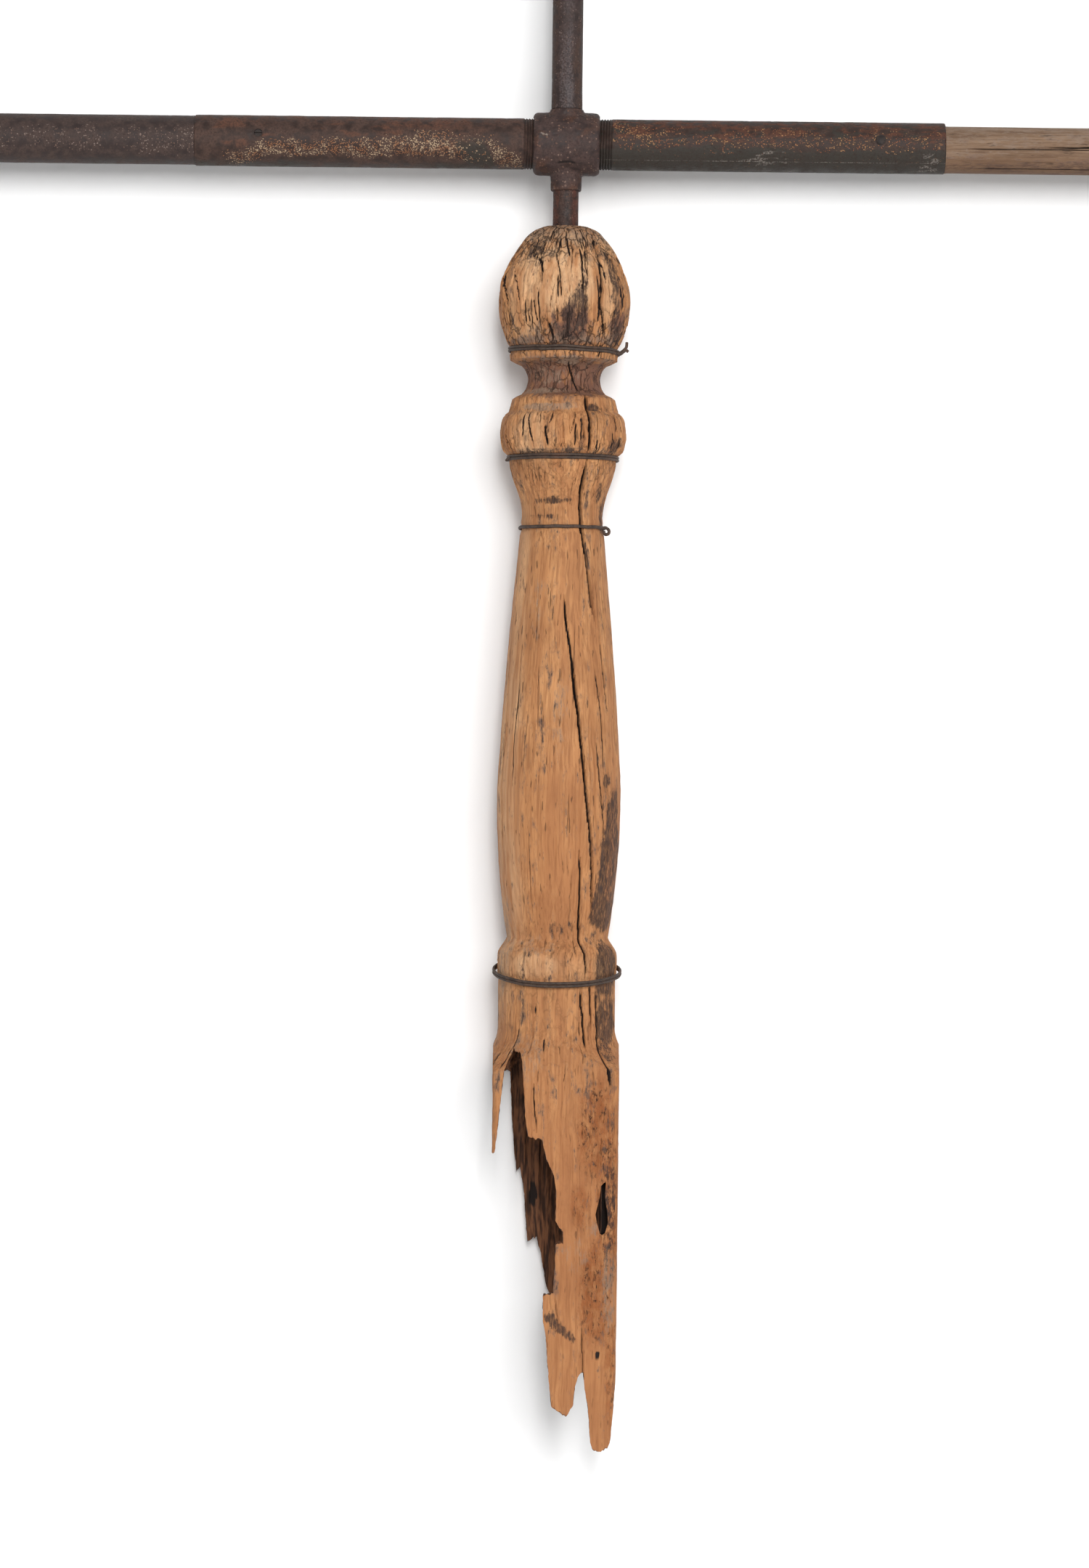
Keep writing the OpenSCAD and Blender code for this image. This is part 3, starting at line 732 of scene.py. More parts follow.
@dataclass
class PostTimber:
    """The turned post, its hollow foot and its breaks."""

    front_columns: int = 224
    back_columns: int = 72
    z_crown: float = 1005.0
    block_h: float = 307.0
    half: float = 52.3
    hollow_half: float = 40.3
    hollow_corner: float = 8.0
    hollow_top: float = 355.0
    bore_r: float = 10.72
    bore_floor: float = 855.0
    plates: int = 84
    row_steps: tuple[tuple[float, float, float], ...] = (
        (0, 80, 6.0), (80, 120, 3.0), (120, 300, 4.5), (300, 345, 2.5), (345, 375, 5.0), (375, 425, 2.4),
        (425, 765, 5.5), (765, 1005, 2.15))
    rough_knots: tuple[tuple[float, float], ...] = (
        (0, 0.12), (300, 0.2), (345, 0.28), (375, 0.3), (386, 0.45), (400, 0.5), (420, 0.3), (440, 0.1),
        (700, 0.08), (745, 0.15), (775, 0.35), (812, 0.55), (820, 0.8), (848, 0.7), (858, 0.5), (868, 0.3),
        (890, 0.3), (905, 0.6), (925, 0.85), (975, 0.75), (990, 0.95), (1005, 1.0))
    net_knots: tuple[tuple[float, float], ...] = (
        (0, 0.0), (300, 0.1), (384, 0.3), (418, 0.2), (440, 0.0), (765, 0.0), (812, 0.5), (822, 0.3),
        (846, 0.25), (862, 0.3), (868, 0.75), (892, 0.75), (905, 1.0), (924, 0.75), (940, 0.15), (966, 0.12),
        (978, 0.8), (1005, 1.0))
    cracks: tuple[Crack, ...] = (
        Crack(((1000, 20), (990, 23), (977, 27), (940, 29), (907, 31)), 1.9, 5.0),
        Crack(((905, 30), (895, 29)), 1.0, 2.0),
        Crack(((892, 3), (878, 7), (866, 12.5)), 0.9, 2.0),
        Crack(((864, 17), (844, 21), (830, 22), (816, 20)), 2.2, 6.0),
        Crack(((812, 20), (784, 15), (754, 16), (727, 21), (694, 25), (679, 29)), 2.4, 7.0),
        Crack(((664, 32), (616, 38), (600, 40)), 1.3, 3.5),
        Crack(((640, 28), (601, 34), (554, 37)), 0.8, 2.0),
        Crack(((580, 30), (532, 35), (500, 38)), 0.8, 2.0),
        Crack(((697, 2), (678, 4), (653, 8), (616, 13)), 1.1, 3.0),
        Crack(((650, 8), (616, 13), (594, 16), (559, 20), (526, 23.5), (497, 27), (476, 28), (437, 28)),
              1.8, 6.0),
        Crack(((489, 17), (476, 18), (415, 18), (402, 23), (383, 24)), 1.2, 4.0),
        Crack(((376, 19), (355, 21.5), (328, 25)), 1.3, 3.5),
        Crack(((380, 27), (348, 29)), 1.3, 3.0),
        Crack(((377, 32), (346, 34), (322, 37), (308, 45), (296, 47)), 1.7, 3.5),
        Crack(((628, -43), (559, -47), (490, -46)), 1.2, 3.0),
        Crack(((623, -34), (580, -38), (545, -39)), 0.8, 2.0),
        Crack(((104, 24), (84, 24.5), (60, 25)), 0.5, 2.0),
        Crack(((130, 0.5), (103, 4.4)), 0.4, 1.5), Crack(((300, -19), (280, -17.5), (262, -16)), 0.6, 2.0),
        Crack(((975, -38.9), (955, -38), (938, -36.7)), 0.7, 2.0),
        Crack(((850, -27), (835, -28), (824, -25)), 1.0, 2.5),
        Crack(((838, -15), (822, -13)), 1.2, 2.5),
        Crack(((985, -27), (972, -20), (962, -18)), 1.1, 2.5),
        Crack(((982, -8), (965, -4.6), (940, -2.5)), 0.6, 1.6),
        Crack(((982, 15), (972, 16), (958, 19)), 0.5, 1.6),
        Crack(((968, -46.8), (950, -47.5), (935, -46)), 1.5, 3.0),
        Crack(((960, -45), (935, -46), (920, -44)), 1.2, 2.6),
        Crack(((922, -13), (908, -9)), 1.1, 2.2))
    stains: tuple[Patch, ...] = (
        Patch(6, 922, 15, 18, 0.7), Patch(11, 938, 9, 13, 0.85), Patch(14, 952, 5, 8, 0.6),
        Patch(43, 948, 7, 32, 0.75), Patch(36, 974, 5, 14, 0.6), Patch(25, 985, 8, 10, 0.6),
        Patch(-24, 984, 10, 9, 0.9), Patch(45, 915, 10, 12, 0.7), Patch(24, 853, 8, 3.6, 0.95),
        Patch(0, 816, 46, 4, 0.6), Patch(42, 822, 10, 7, 0.9), Patch(16, 826, 3, 12, 0.75),
        Patch(-7, 777.5, 19, 3, 0.95), Patch(-18, 764, 17, 2.6, 0.75), Patch(33, 766, 8, 18, 0.95),
        Patch(30, 784, 6, 10, 0.8), Patch(39, 547, 5, 8, 1.0), Patch(45, 520, 10, 24, 1.1),
        Patch(45, 485, 18.5, 34, 1.4), Patch(41, 448, 21, 26, 1.4), Patch(35, 434, 15, 9, 1.2),
        Patch(-3, 428, 22, 7, 0.5), Patch(43, 392, 19, 24, 1.2), Patch(42, 350, 18, 20, 1.2),
        Patch(41, 326, 10, 12, 0.7), Patch(34, 368, 6, 12, 0.6),
        Patch(-3, 109, 5, 4, 1.2), Patch(2, 104, 5, 4, 1.2), Patch(7, 99, 5, 4, 1.2),
        Patch(12, 95, 5, 3.5, 1.2), Patch(16, 91.5, 4, 3, 1.1), Patch(49, 205, 4, 60, 0.45),
        Patch(-24, 405, 5, 3, 0.5))
    blushes: tuple[Patch, ...] = (
        Patch(0, 878, 75, 18, 0.9), Patch(6, 918, 18, 18, 0.85), Patch(0, 908, 75, 5, 0.55),
        Patch(44, 920, 14, 14, 0.7))
    # Weathered grey, and at the left edge of the block and shoulder (the patches at x -44 and -50) a painted
    # highlight.
    greys_and_left_highlight: tuple[Patch, ...] = (
        Patch(0, 1000, 70, 16, 0.85), Patch(0, 982, 75, 14, 0.35), Patch(0, 914, 75, 9, 0.4),
        Patch(0, 893, 70, 3, 0.5), Patch(3, 891.5, 10, 4, 1.2), Patch(-12, 880, 30, 9, 0.5),
        Patch(-22, 867, 26, 3.4, 0.9), Patch(-14, 853.5, 26, 3.2, 1.2), Patch(0, 908, 75, 3, 0.6),
        Patch(0, 817, 75, 3, 0.5), Patch(-44, 410, 14, 60, 0.6), Patch(-50, 350, 10, 40, 0.6),
        Patch(-20, 412, 22, 8, 0.4), Patch(48, 130, 6, 40, 0.5), Patch(33, 188, 6, 14, 0.45),
        Patch(-12, 232, 6, 14, 0.5), Patch(18, 160, 12, 16, 0.45), Patch(-30, 320, 20, 24, 0.3),
        Patch(-20, 690, 10, 30, 0.35), Patch(2, 600, 8, 40, 0.3))
    torn_places: tuple[Patch, ...] = (
        Patch(36, 262, 15, 42, 1.1), Patch(36, 130, 13, 44, 1.1), Patch(22, 200, 9, 20, 0.7),
        Patch(-34, 290, 8, 22, 0.5), Patch(46, 200, 9, 80), Patch(50, 70, 5, 50, 0.8))
    # Cream patches: a paler colour on the ball, crown, shoulder and bulb, and down the left side of the vase
    # painted light where the lamps leave it darker.
    creams_and_left_light: tuple[Patch, ...] = (
        Patch(-8, 958, 44, 34, 0.66), Patch(-34, 940, 18, 40, 0.4), Patch(36, 950, 13, 30, 0.5),
        Patch(0, 988, 75, 13, 0.5), Patch(-22, 396, 30, 12, 0.5), Patch(-26, 830, 22, 22, 0.5),
        Patch(-46, 520, 24, 190, 0.5), Patch(-36, 700, 20, 90, 0.4), Patch(0, 392, 75, 14, 0.25))
    bulges: tuple[Patch, ...] = (
        Patch(-45, 958, 16, 17), Patch(-46, 835, 12, 12, 0.5), Patch(46, 945, 12, 16, 0.4))
    tan_knots: tuple[tuple[float, float], ...] = (
        (0, 0.6), (250, 0.75), (340, 0.55), (390, 0.15), (425, 0.6), (520, 0.55), (620, 0.3), (720, 0.1),
        (1005, 0.0))
    nail_holes: tuple[tuple[float, float], ...] = ((7.4, 571), (-1, 266), (37, 80))
    front_break: tuple[tuple[float, float], ...] = (
        (-0.66, 1.066), (-0.55, 1.055), (-0.51, 1), (-0.47, 0.895), (-0.425, 0.837), (-0.2, 0.829),
        (-0.13, 0.777), (-0.01, 0.734), (0.03, 0.692), (0.025, 0.613), (0.08, 0.595), (0.14, 0.582),
        (0.14, 0.551), (0.03, 0.551), (0.025, 0.499), (0, 0.42), (-0.16, 0.412), (-0.155, 0.344),
        (-0.115, 0.314), (-0.065, 0.209), (-0.01, 0.119), (0.135, 0.101), (0.235, 0.095),
        (0.325, 0.124), (0.345, 0.159), (0.39, 0.196), (0.45, 0.212), (0.485, 0.209), (0.51, 0.167),
        (0.565, 0.111), (0.605, 0.025), (0.64, 0.008), (0.72, 0), (0.79, 0.002), (0.87, 0.011),
        (0.905, 0.025), (0.935, 0.068), (0.97, 0.138), (0.99, 0.201), (1.2, 0.212), (1.2, -0.1),
        (-1.2, -0.1), (-1.2, 0.791), (-0.945, 0.791), (-0.9, 0.861), (-0.855, 0.937), (-0.81, 1.01),
        (-0.76, 1.03))
    back_break: tuple[tuple[float, float], ...] = (
        (-1.2, 0.99), (-0.72, 0.99), (-0.68, 0.86), (-0.64, 0.77), (-0.6, 0.72), (-0.55, 0.735),
        (-0.48, 0.67), (-0.42, 0.535), (-0.28, 0.545), (-0.2, 0.5), (-0.12, 0.42), (-0.04, 0.38),
        (0.15, 0.33), (0.3, 0.27), (0.55, 0.25), (0.7, 0.2), (1.2, 0.19), (1.2, -0.1), (-1.2, -0.1))
    left_break: tuple[tuple[float, float], ...] = (
        (-0.7, 1.0), (-0.55, 1.03), (-0.4, 1.01), (-0.1, 1.045), (0.2, 1.015), (0.45, 1.04), (0.75, 1.0),
        (1.2, 0.99), (1.2, -0.1), (-1.2, -0.1), (-1.2, 0.7), (-0.9, 0.72), (-0.8, 0.86))
    right_break: tuple[tuple[float, float], ...] = (
        (-0.76, 0.1), (-0.7, 0.19), (-0.6, 0.27), (-0.35, 0.24), (0, 0.3), (0.3, 0.25), (0.6, 0.23),
        (0.9, 0.19), (1.2, 0.19), (1.2, -0.1), (-0.76, -0.1))
    knot_hole: tuple[tuple[float, float], ...] = (
        (0.804, 0.719), (0.725, 0.707), (0.709, 0.676), (0.642, 0.63), (0.668, 0.608), (0.717, 0.579),
        (0.75, 0.576), (0.796, 0.582), (0.843, 0.608), (0.826, 0.64), (0.79, 0.676))

    def __post_init__(self) -> None:
        """Lays out the rows and columns of the surface, and measures the CAD post along them."""
        self.noise = Noise(11)
        self.fine = Noise(12)
        self.random = np.random.default_rng(13)
        front = np.linspace(-90, 90, self.front_columns, endpoint=False)
        back = np.linspace(90, 270, self.back_columns, endpoint=False)
        self.turn = np.radians(np.concatenate([front, back]))
        rows = [np.arange(low, high - step / 2, step) for low, high, step in self.row_steps]
        self.heights = np.concatenate(rows + [[self.z_crown - 0.6]])
        self.round_r, self.face_r = self.measure()
        self.nominal = self.radius_at(self.turn[None, :], np.arange(len(self.heights))[:, None])

    def measure(self) -> tuple[Array, Array]:
        """The CAD post's reach on the diagonal and square on to its right face, at each row."""
        tree = BVHTree.FromObject(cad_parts["post"], bpy.context.evaluated_depsgraph_get())
        sound = 110.0
        reach = []
        for angle in (math.radians(45), 0.0):
            way = Vector((math.cos(angle), math.sin(angle), 0))
            row = []
            for height in np.maximum(self.heights, sound):
                hit = tree.ray_cast(way * 0.2 + Vector((0, 0, height * MM)), -way)[0]
                row.append(hit.xy.length / MM)
            reach.append(np.array(row))
        return reach[0], reach[1]

    def radius_at(self, turn: Array, row: Array) -> Array:
        """The sound post's radius: a circle, cut by the block's four faces."""
        square = self.face_r[row] / np.maximum(np.abs(np.cos(turn)), np.abs(np.sin(turn)))
        return np.minimum(np.minimum(self.round_r[row], square), 1.38 * self.half)

    def bearing(self, x: float, z: float) -> float:
        """The turn at which a line straight back from (x, z) meets the front of the post."""
        round_r = np.interp(z, self.heights, self.round_r)
        face_r = np.interp(z, self.heights, self.face_r)
        turn = math.asin(np.clip(x / round_r, -0.999, 0.999))
        return turn if round_r * math.cos(turn) <= face_r else math.atan2(x, face_r)

    def roughness(self) -> Array:
        """How rough each row is, from 0 to 1."""
        heights, values = zip(*self.rough_knots)
        return np.interp(self.heights, heights, values)

    def flakes(self) -> Array:
        """How far each point of the grid is set back by the flakes round it, from 0 to 1."""
        turn, height = self.turn[None, :], self.heights[:, None]
        x, y = np.sin(turn), -np.cos(turn)
        warp = self.noise.layered(x * 5, y * 5, height / 16, 2)
        column = np.floor(turn / (2 * np.pi) * self.plates + 2.2 * warp).astype(int) % self.plates
        length = 12 + 10 * np.random.default_rng(21).random(self.plates)
        start = 40 * np.random.default_rng(22).random(self.plates)
        wave = 4 * self.fine.at(x * 9, y * 9, height / 5)
        level = np.floor((height + start[column] + wave) / length[column]).astype(int)
        return np.random.default_rng(23).random((256, 256))[column % 256, level % 256] ** 1.6

    def carve_line(self, line: Sequence[tuple[float, float]], width: float, depth: float) -> None:
        """Cuts one crack into the depth map, and into the check map, which paints the shade inside it.

        Args:
            line: Height and turn of its points, from the top down.
            width: Its width in millimetres.
            depth: Its depth in millimetres.
        """
        heights, turns = np.array(sorted(line)).T
        low, high = np.searchsorted(self.heights, (heights[0] - 1, heights[-1] + 1))
        rows = slice(low, max(high, low + 1))
        height = self.heights[rows]
        share = np.clip((height - heights[0]) / max(heights[-1] - heights[0], 1), 0, 1)
        radius = np.median(self.nominal[rows], axis=1)
        wander = (0.9 * self.fine.at(height / 6.0, width * 7, depth * 3)
                  + 0.5 * self.fine.at(height / 2.0, depth, 3.3))
        centre = np.interp(height, heights, turns) + wander / radius
        taper = np.clip(np.minimum(share, 1 - share) * 7 + 0.25, 0, 1)
        across = (self.turn[None, :] - centre[:, None] + np.pi) % (2 * np.pi) - np.pi
        across = np.abs(across) * radius[:, None]
        half = (width / 2 * taper * (1 + 0.5 * self.fine.at(height / 4.0, depth * 5, 0.7)))[:, None]
        shape = 1 - smooth_step(half * 0.55, half * 1.35 + 0.25, across)
        self.depth[rows] = np.maximum(self.depth[rows], shape * depth * taper[:, None])
        lip = np.exp(-((across - half - 1.2) / 1.1) ** 2) * 0.3 * taper[:, None]
        self.lips[rows] = np.maximum(self.lips[rows], lip)
        # Painted shade along the crack, in the check map.
        seen = 1 - smooth_step(half * 0.6, half + 0.6, across)
        self.check[rows] = np.maximum(self.check[rows], seen * np.clip(width * 1.15, 0.3, 1) * taper[:, None])

    def scatter_checks(self, kinds: Sequence[Checks]) -> None:
        """Cuts many short random cracks.

        Args:
            kinds: Each kind of crack, with how many there are and how large they get.
        """
        for kind in kinds:
            for _ in range(kind.count):
                middle = self.random.uniform(kind.low, kind.high)
                length = self.random.uniform(*kind.length)
                turn = self.random.uniform(-np.pi / 2, 1.5 * np.pi)
                lean = self.random.normal(0, 0.02)
                low, high = max(middle - length / 2, kind.low), min(middle + length / 2, kind.high)
                bend = self.random.normal(0, 0.008)
                line = [(low, turn - lean), ((low + high) / 2, turn + bend), (high, turn + lean)]
                self.carve_line(line, self.random.uniform(*kind.width), self.random.uniform(*kind.depth))

    def patch_map(self, patches: Sequence[Patch]) -> Array:
        """How strongly each point of the grid is marked by some patches.

        Args:
            patches: The patches; where they overlap, the strongest counts.

        Returns:
            One strength for each point of the grid.
        """
        total = np.zeros(self.nominal.shape)
        for patch in patches:
            across = (self.turn - self.bearing(patch.x, patch.z) + np.pi) % (2 * np.pi) - np.pi
            across = across[None, :] * self.nominal
            up = (self.heights[:, None] - patch.z) - patch.lean * across
            distance = np.hypot(across / patch.half_width, up / patch.half_height)
            total = np.maximum(total, patch.strength * (1 - smooth_step(0.55, 1.25, distance)))
        return total

    def shape_surface(self) -> Array:
        """The outer surface's radius at each point of the grid."""
        self.depth = np.zeros(self.nominal.shape)
        self.check = np.zeros(self.nominal.shape)
        self.lips = np.zeros(self.nominal.shape)
        self.scatter_checks((
            Checks(908, 988, 100, (16, 50), (0.25, 0.5), (0.4, 1.4)),
            Checks(972, 1003, 120, (5, 15), (0.3, 0.65), (0.5, 1.8)),
            Checks(903, 928, 130, (5, 17), (0.25, 0.55), (0.4, 1.3)),
            Checks(894, 902, 40, (3, 8), (0.3, 0.5), (0.3, 0.9)),
            Checks(864, 893, 40, (6, 18), (0.25, 0.5), (0.3, 0.9)),
            Checks(816, 850, 80, (8, 30), (0.25, 0.55), (0.4, 1.4)),
            Checks(816, 828, 60, (4, 10), (0.25, 0.5), (0.4, 1.2)),
            Checks(850, 863, 40, (4, 11), (0.3, 0.5), (0.4, 1.0)),
            Checks(790, 811, 60, (6, 20), (0.25, 0.5), (0.3, 1.0)),
            Checks(770, 800, 30, (8, 24), (0.25, 0.5), (0.3, 1.0)),
            Checks(430, 760, 80, (16, 80), (0.25, 0.45), (0.3, 0.8)),
            Checks(384, 418, 70, (6, 20), (0.25, 0.5), (0.4, 1.2)),
            Checks(300, 382, 60, (6, 26), (0.25, 0.5), (0.4, 1.2)),
            Checks(4, 300, 50, (8, 36), (0.25, 0.4), (0.3, 0.8)),
            Checks(922, 992, 60, (12, 40), (0.5, 0.95), (1.0, 2.4)),
            Checks(816, 848, 26, (6, 22), (0.5, 0.9), (0.8, 1.8)),
            Checks(310, 384, 26, (6, 20), (0.5, 0.9), (0.8, 1.8))))
        for crack in self.cracks:
            line = [(height, self.bearing(x, height)) for height, x in crack.line]
            self.carve_line(line, crack.width, crack.depth)

        turn, height = self.turn[None, :], self.heights[:, None]
        rough = self.roughness()[:, None]
        x, y = self.nominal * np.sin(turn), -self.nominal * np.cos(turn)
        swell = self.noise.layered(x / 26, y / 26, height / 50, 2) * (0.5 + 1.1 * rough)
        ridge = self.fine.layered(x / 3.1, y / 3.1, height / 55, 2) * (0.1 + 0.62 * rough)
        chip = self.noise.at(x / 5, y / 5, height / 9) * 0.8 * rough ** 2
        flake = self.flakes() * rough * 2.1
        self.torn = self.patch_map(self.torn_places)
        scales = self.fine.layered(x / 4.5, y / 4.5, height / 14, 3)
        torn = self.torn * (0.4 + 6.0 * np.abs(scales))
        square = smooth_step(300, 330, np.broadcast_to(height, self.nominal.shape))
        corner = np.clip((self.nominal - 1.3 * self.half) / 6, 0, 1) * (1 - square)
        wear = corner * (1.0 + 5.6 * np.abs(self.noise.layered(x / 9, y / 9, height / 30, 2)))
        near_wire = np.ones_like(height)
        for level, reach in ((901.8, 3.4), (813.4, 3.4), (756.0, 2.6)):
            near_wire = near_wire * smooth_step(reach * 0.7, reach + 3.0, np.abs(height - level))
        relief = 0.35 + np.abs(swell) + 0.6 * np.abs(ridge) + np.abs(chip) + flake
        relief = relief * (0.15 + 0.85 * near_wire) + torn + wear
        bulge = self.patch_map(self.bulges)
        bulge = (2.8 * bulge + 1.4 * smooth_step(0.35, 0.7, rough)) * near_wire
        rounding = 5.5 * smooth_step(998, 1006, height) ** 2
        surface = self.nominal + bulge - relief - self.depth + self.lips * 0.5 - rounding
        # Nail holes are only painted: dark spots in the check map, as the shade inside them.
        for x_hole, z_hole in self.nail_holes:
            across = np.hypot((turn - self.bearing(x_hole, z_hole)) * self.nominal, height - z_hole)
            self.check = np.maximum(self.check, 1 - smooth_step(0.6, 2.0, across))
        return np.minimum(surface, self.nominal + 0.2 + bulge)

    def surface_points(self, surface: Array) -> tuple[Array, list]:
        """The closed turned body: its outside, its crown and the spindle's bore.

        Args:
            surface: The outside's radius at each point of the grid.

        Returns:
            The body's points and its faces.
        """
        turn = self.turn[None, :, None]
        way = np.concatenate([np.sin(turn), -np.cos(turn)], -1)[0]
        rings = [np.concatenate([radius[:, None] * way, np.full((len(way), 1), height)], 1)
                 for radius, height in zip(surface, self.heights)]
        rim = surface[-1]
        for share in (0.93, 0.8, 0.62, 0.44, 0.26, 0.1, 0.0):
            radius = self.bore_r + 0.35 + (rim - self.bore_r - 0.35) * share
            x, y = radius * way[:, 0], radius * way[:, 1]
            sink = 2.0 * np.abs(self.noise.layered(x / 7, y / 7, np.full_like(x, 1.7), 3)) + 0.3
            top = self.z_crown - sink - 0.4 * share
            rings.append(np.stack([x, y, top], 1))
        depths = np.linspace(self.z_crown - 8, self.bore_floor, 6)
        for height in depths:
            rings.append(np.concatenate([self.bore_r * way, np.full((len(way), 1), height)], 1))
        return capped_tube(np.array(rings))

    def hollow_cutter(self) -> bpy.types.Object:
        """The rotted hollow: a rounded square with a domed head and deep grain."""
        columns = 216
        turn = np.linspace(0, 2 * np.pi, columns, endpoint=False) + 0.01
        inner = self.hollow_half - self.hollow_corner
        cosine, sine = np.cos(turn), np.sin(turn)
        face = self.hollow_half / np.maximum(np.abs(cosine), np.abs(sine))
        reach = inner * (np.abs(cosine) + np.abs(sine))
        corner = reach + np.sqrt(np.maximum(reach ** 2 - 2 * inner ** 2 + self.hollow_corner ** 2, 0))
        square = np.where(np.minimum(np.abs(cosine), np.abs(sine)) * face > inner, corner, face)
        vault = self.hollow_top - self.block_h
        heights = np.concatenate([np.arange(-12, self.block_h, 6.5),
                                  self.block_h + vault * np.sin(np.linspace(0, 1.5, 10))])
        rings = []
        for height in heights:
            rise = np.clip((height - self.block_h) / vault, 0, 1)
            base = np.full(columns, self.hollow_half)
            if rise < 1:
                base = square * (1 - rise) + self.hollow_half * rise
            radius = base * math.sqrt(max(1 - rise ** 2, 0.002))
            x, y = radius * cosine, radius * sine
            ridge = self.fine.layered(x / 3.2, y / 3.2, np.full(columns, height / 45), 2)
            lump = self.noise.layered(x / 14, y / 14, np.full(columns, height / 26), 2)
            radius = radius - 1.0 + 1.9 * ridge + 1.6 * lump
            rings.append(np.stack([radius * cosine, radius * sine, np.full(columns, height)], 1))
        points, faces = capped_tube(np.array(rings))
        return new_piece("hollow_cutter", points, faces)

    def break_cutter(self, outline: Sequence[tuple[float, float]], depth: float, turn: float = 0,
                     flip: bool = False, splinter: float = 1.0) -> bpy.types.Object:
        """A prism with a splintered outline that breaks a piece out of one face.

        Args:
            outline: Shares of the block's half width and of its height.
            depth: How far in it reaches.
            turn: Which face: 0 front, 90 right, 180 back, 270 left.
            flip: Whether the outline runs the other way.
            splinter: Size of the splinters.

        Returns:
            The closed cutter.
        """
        corners = np.array(outline) * [self.half * (-1 if flip else 1), self.block_h]
        line = []
        for start, end in zip(corners, np.roll(corners, -1, axis=0)):
            count = max(int(np.linalg.norm(end - start) / 1.3), 1)
            line.append(start + (end - start) * np.arange(count)[:, None] / count)
        line = np.concatenate(line)
        along = np.roll(line, -1, axis=0) - np.roll(line, 1, axis=0)
        flat = np.abs(along[:, 0]) / (np.linalg.norm(along, axis=1) + 1e-6)
        layers = np.concatenate([[-3.0], np.linspace(0, 12, 6), [depth]]) - self.half
        rings = []
        for layer in layers:
            away = np.full(len(line), layer)
            spike = self.fine.layered(line[:, 0] / 1.7, away / 3.0, line[:, 1] / 30 + turn, 2)
            sway = self.noise.layered(line[:, 0] / 9, away / 5, line[:, 1] / 7 + turn, 2)
            x = line[:, 0] + 0.9 * splinter * sway
            z = line[:, 1] + flat * splinter * 4.2 * spike
            rings.append(np.stack([x, away, z], 1))
        count = len(line)
        points = np.concatenate(rings)
        faces = grid_faces(len(layers), count).tolist()
        faces.append(list(range(count))[::-1])
        faces.append([(len(layers) - 1) * count + i for i in range(count)])
        angle = math.radians(turn)
        spin = np.array([[math.cos(angle), math.sin(angle), 0], [-math.sin(angle), math.cos(angle), 0],
                         [0, 0, 1]])
        return new_piece("break_cutter", points @ spin, faces)

    def build(self) -> bpy.types.Object:
        """The carved post, with its marks."""
        surface = self.shape_surface()
        points, faces = self.surface_points(surface)
        post = new_piece("post_timber", points, faces)
        through, left_through = 20.0, 14.6
        cut(post, self.hollow_cutter())
        cut(post, self.break_cutter(self.front_break, 30.0))
        cut(post, self.break_cutter(self.right_break, through, 90))
        cut(post, self.break_cutter(self.back_break, through, 180, flip=True))
        cut(post, self.break_cutter(self.left_break, left_through, 270, flip=True))
        cut(post, self.break_cutter(self.knot_hole, 18.0, splinter=0.3))
        soften(post, 42)
        self.mark(post, surface)
        return post

    def sample(self, grid: Array, turn: Array, height: Array) -> Array:
        """A grid's values at some turns and heights, joined in straight lines.

        Args:
            grid: One value for each height and turn of the post.
            turn: The angles to read at.
            height: The heights to read at.

        Returns:
            The values, one for each angle and height.
        """
        row = np.interp(height, self.heights, np.arange(len(self.heights)))
        wrapped = np.concatenate([self.turn, [self.turn[0] + 2 * np.pi]])
        column = np.interp((turn + np.pi / 2) % (2 * np.pi) - np.pi / 2, wrapped, np.arange(len(wrapped)))
        low_row, low_column = np.floor(row).astype(int), np.floor(column).astype(int)
        high_row = np.minimum(low_row + 1, len(self.heights) - 1)
        up, over = row - low_row, column - low_column
        count = len(self.turn)
        left, right = low_column % count, (low_column + 1) % count
        first = grid[low_row, left] * (1 - over) + grid[low_row, right] * over
        second = grid[high_row, left] * (1 - over) + grid[high_row, right] * over
        return first * (1 - up) + second * up

    def mark(self, post: bpy.types.Object, surface: Array) -> None:
        """Stores where the post is cracked, stained, torn, grey or hollow.
        The dark in its cracks, holes and knot hole is painted shade, the hollow's dark brown is partly
        painted shade, and some cream and grey patches are painted light.

        Args:
            post: The finished post.
            surface: The outside's radius at each point of the grid.
        """
        points = points_of(post)
        turn = np.arctan2(points[:, 0], -points[:, 1])
        height, radius = points[:, 2], np.hypot(points[:, 0], points[:, 1])
        sunk = self.sample(surface, turn, height) - radius
        # The inside mark follows depth below the sound surface; its dark brown is partly the wood's own and
        # partly painted shade.
        body = height < 380
        inside = smooth_step(0.8, 3.0, sunk) * body
        outside = 1 - inside
        set_mark(post, "inside", inside)
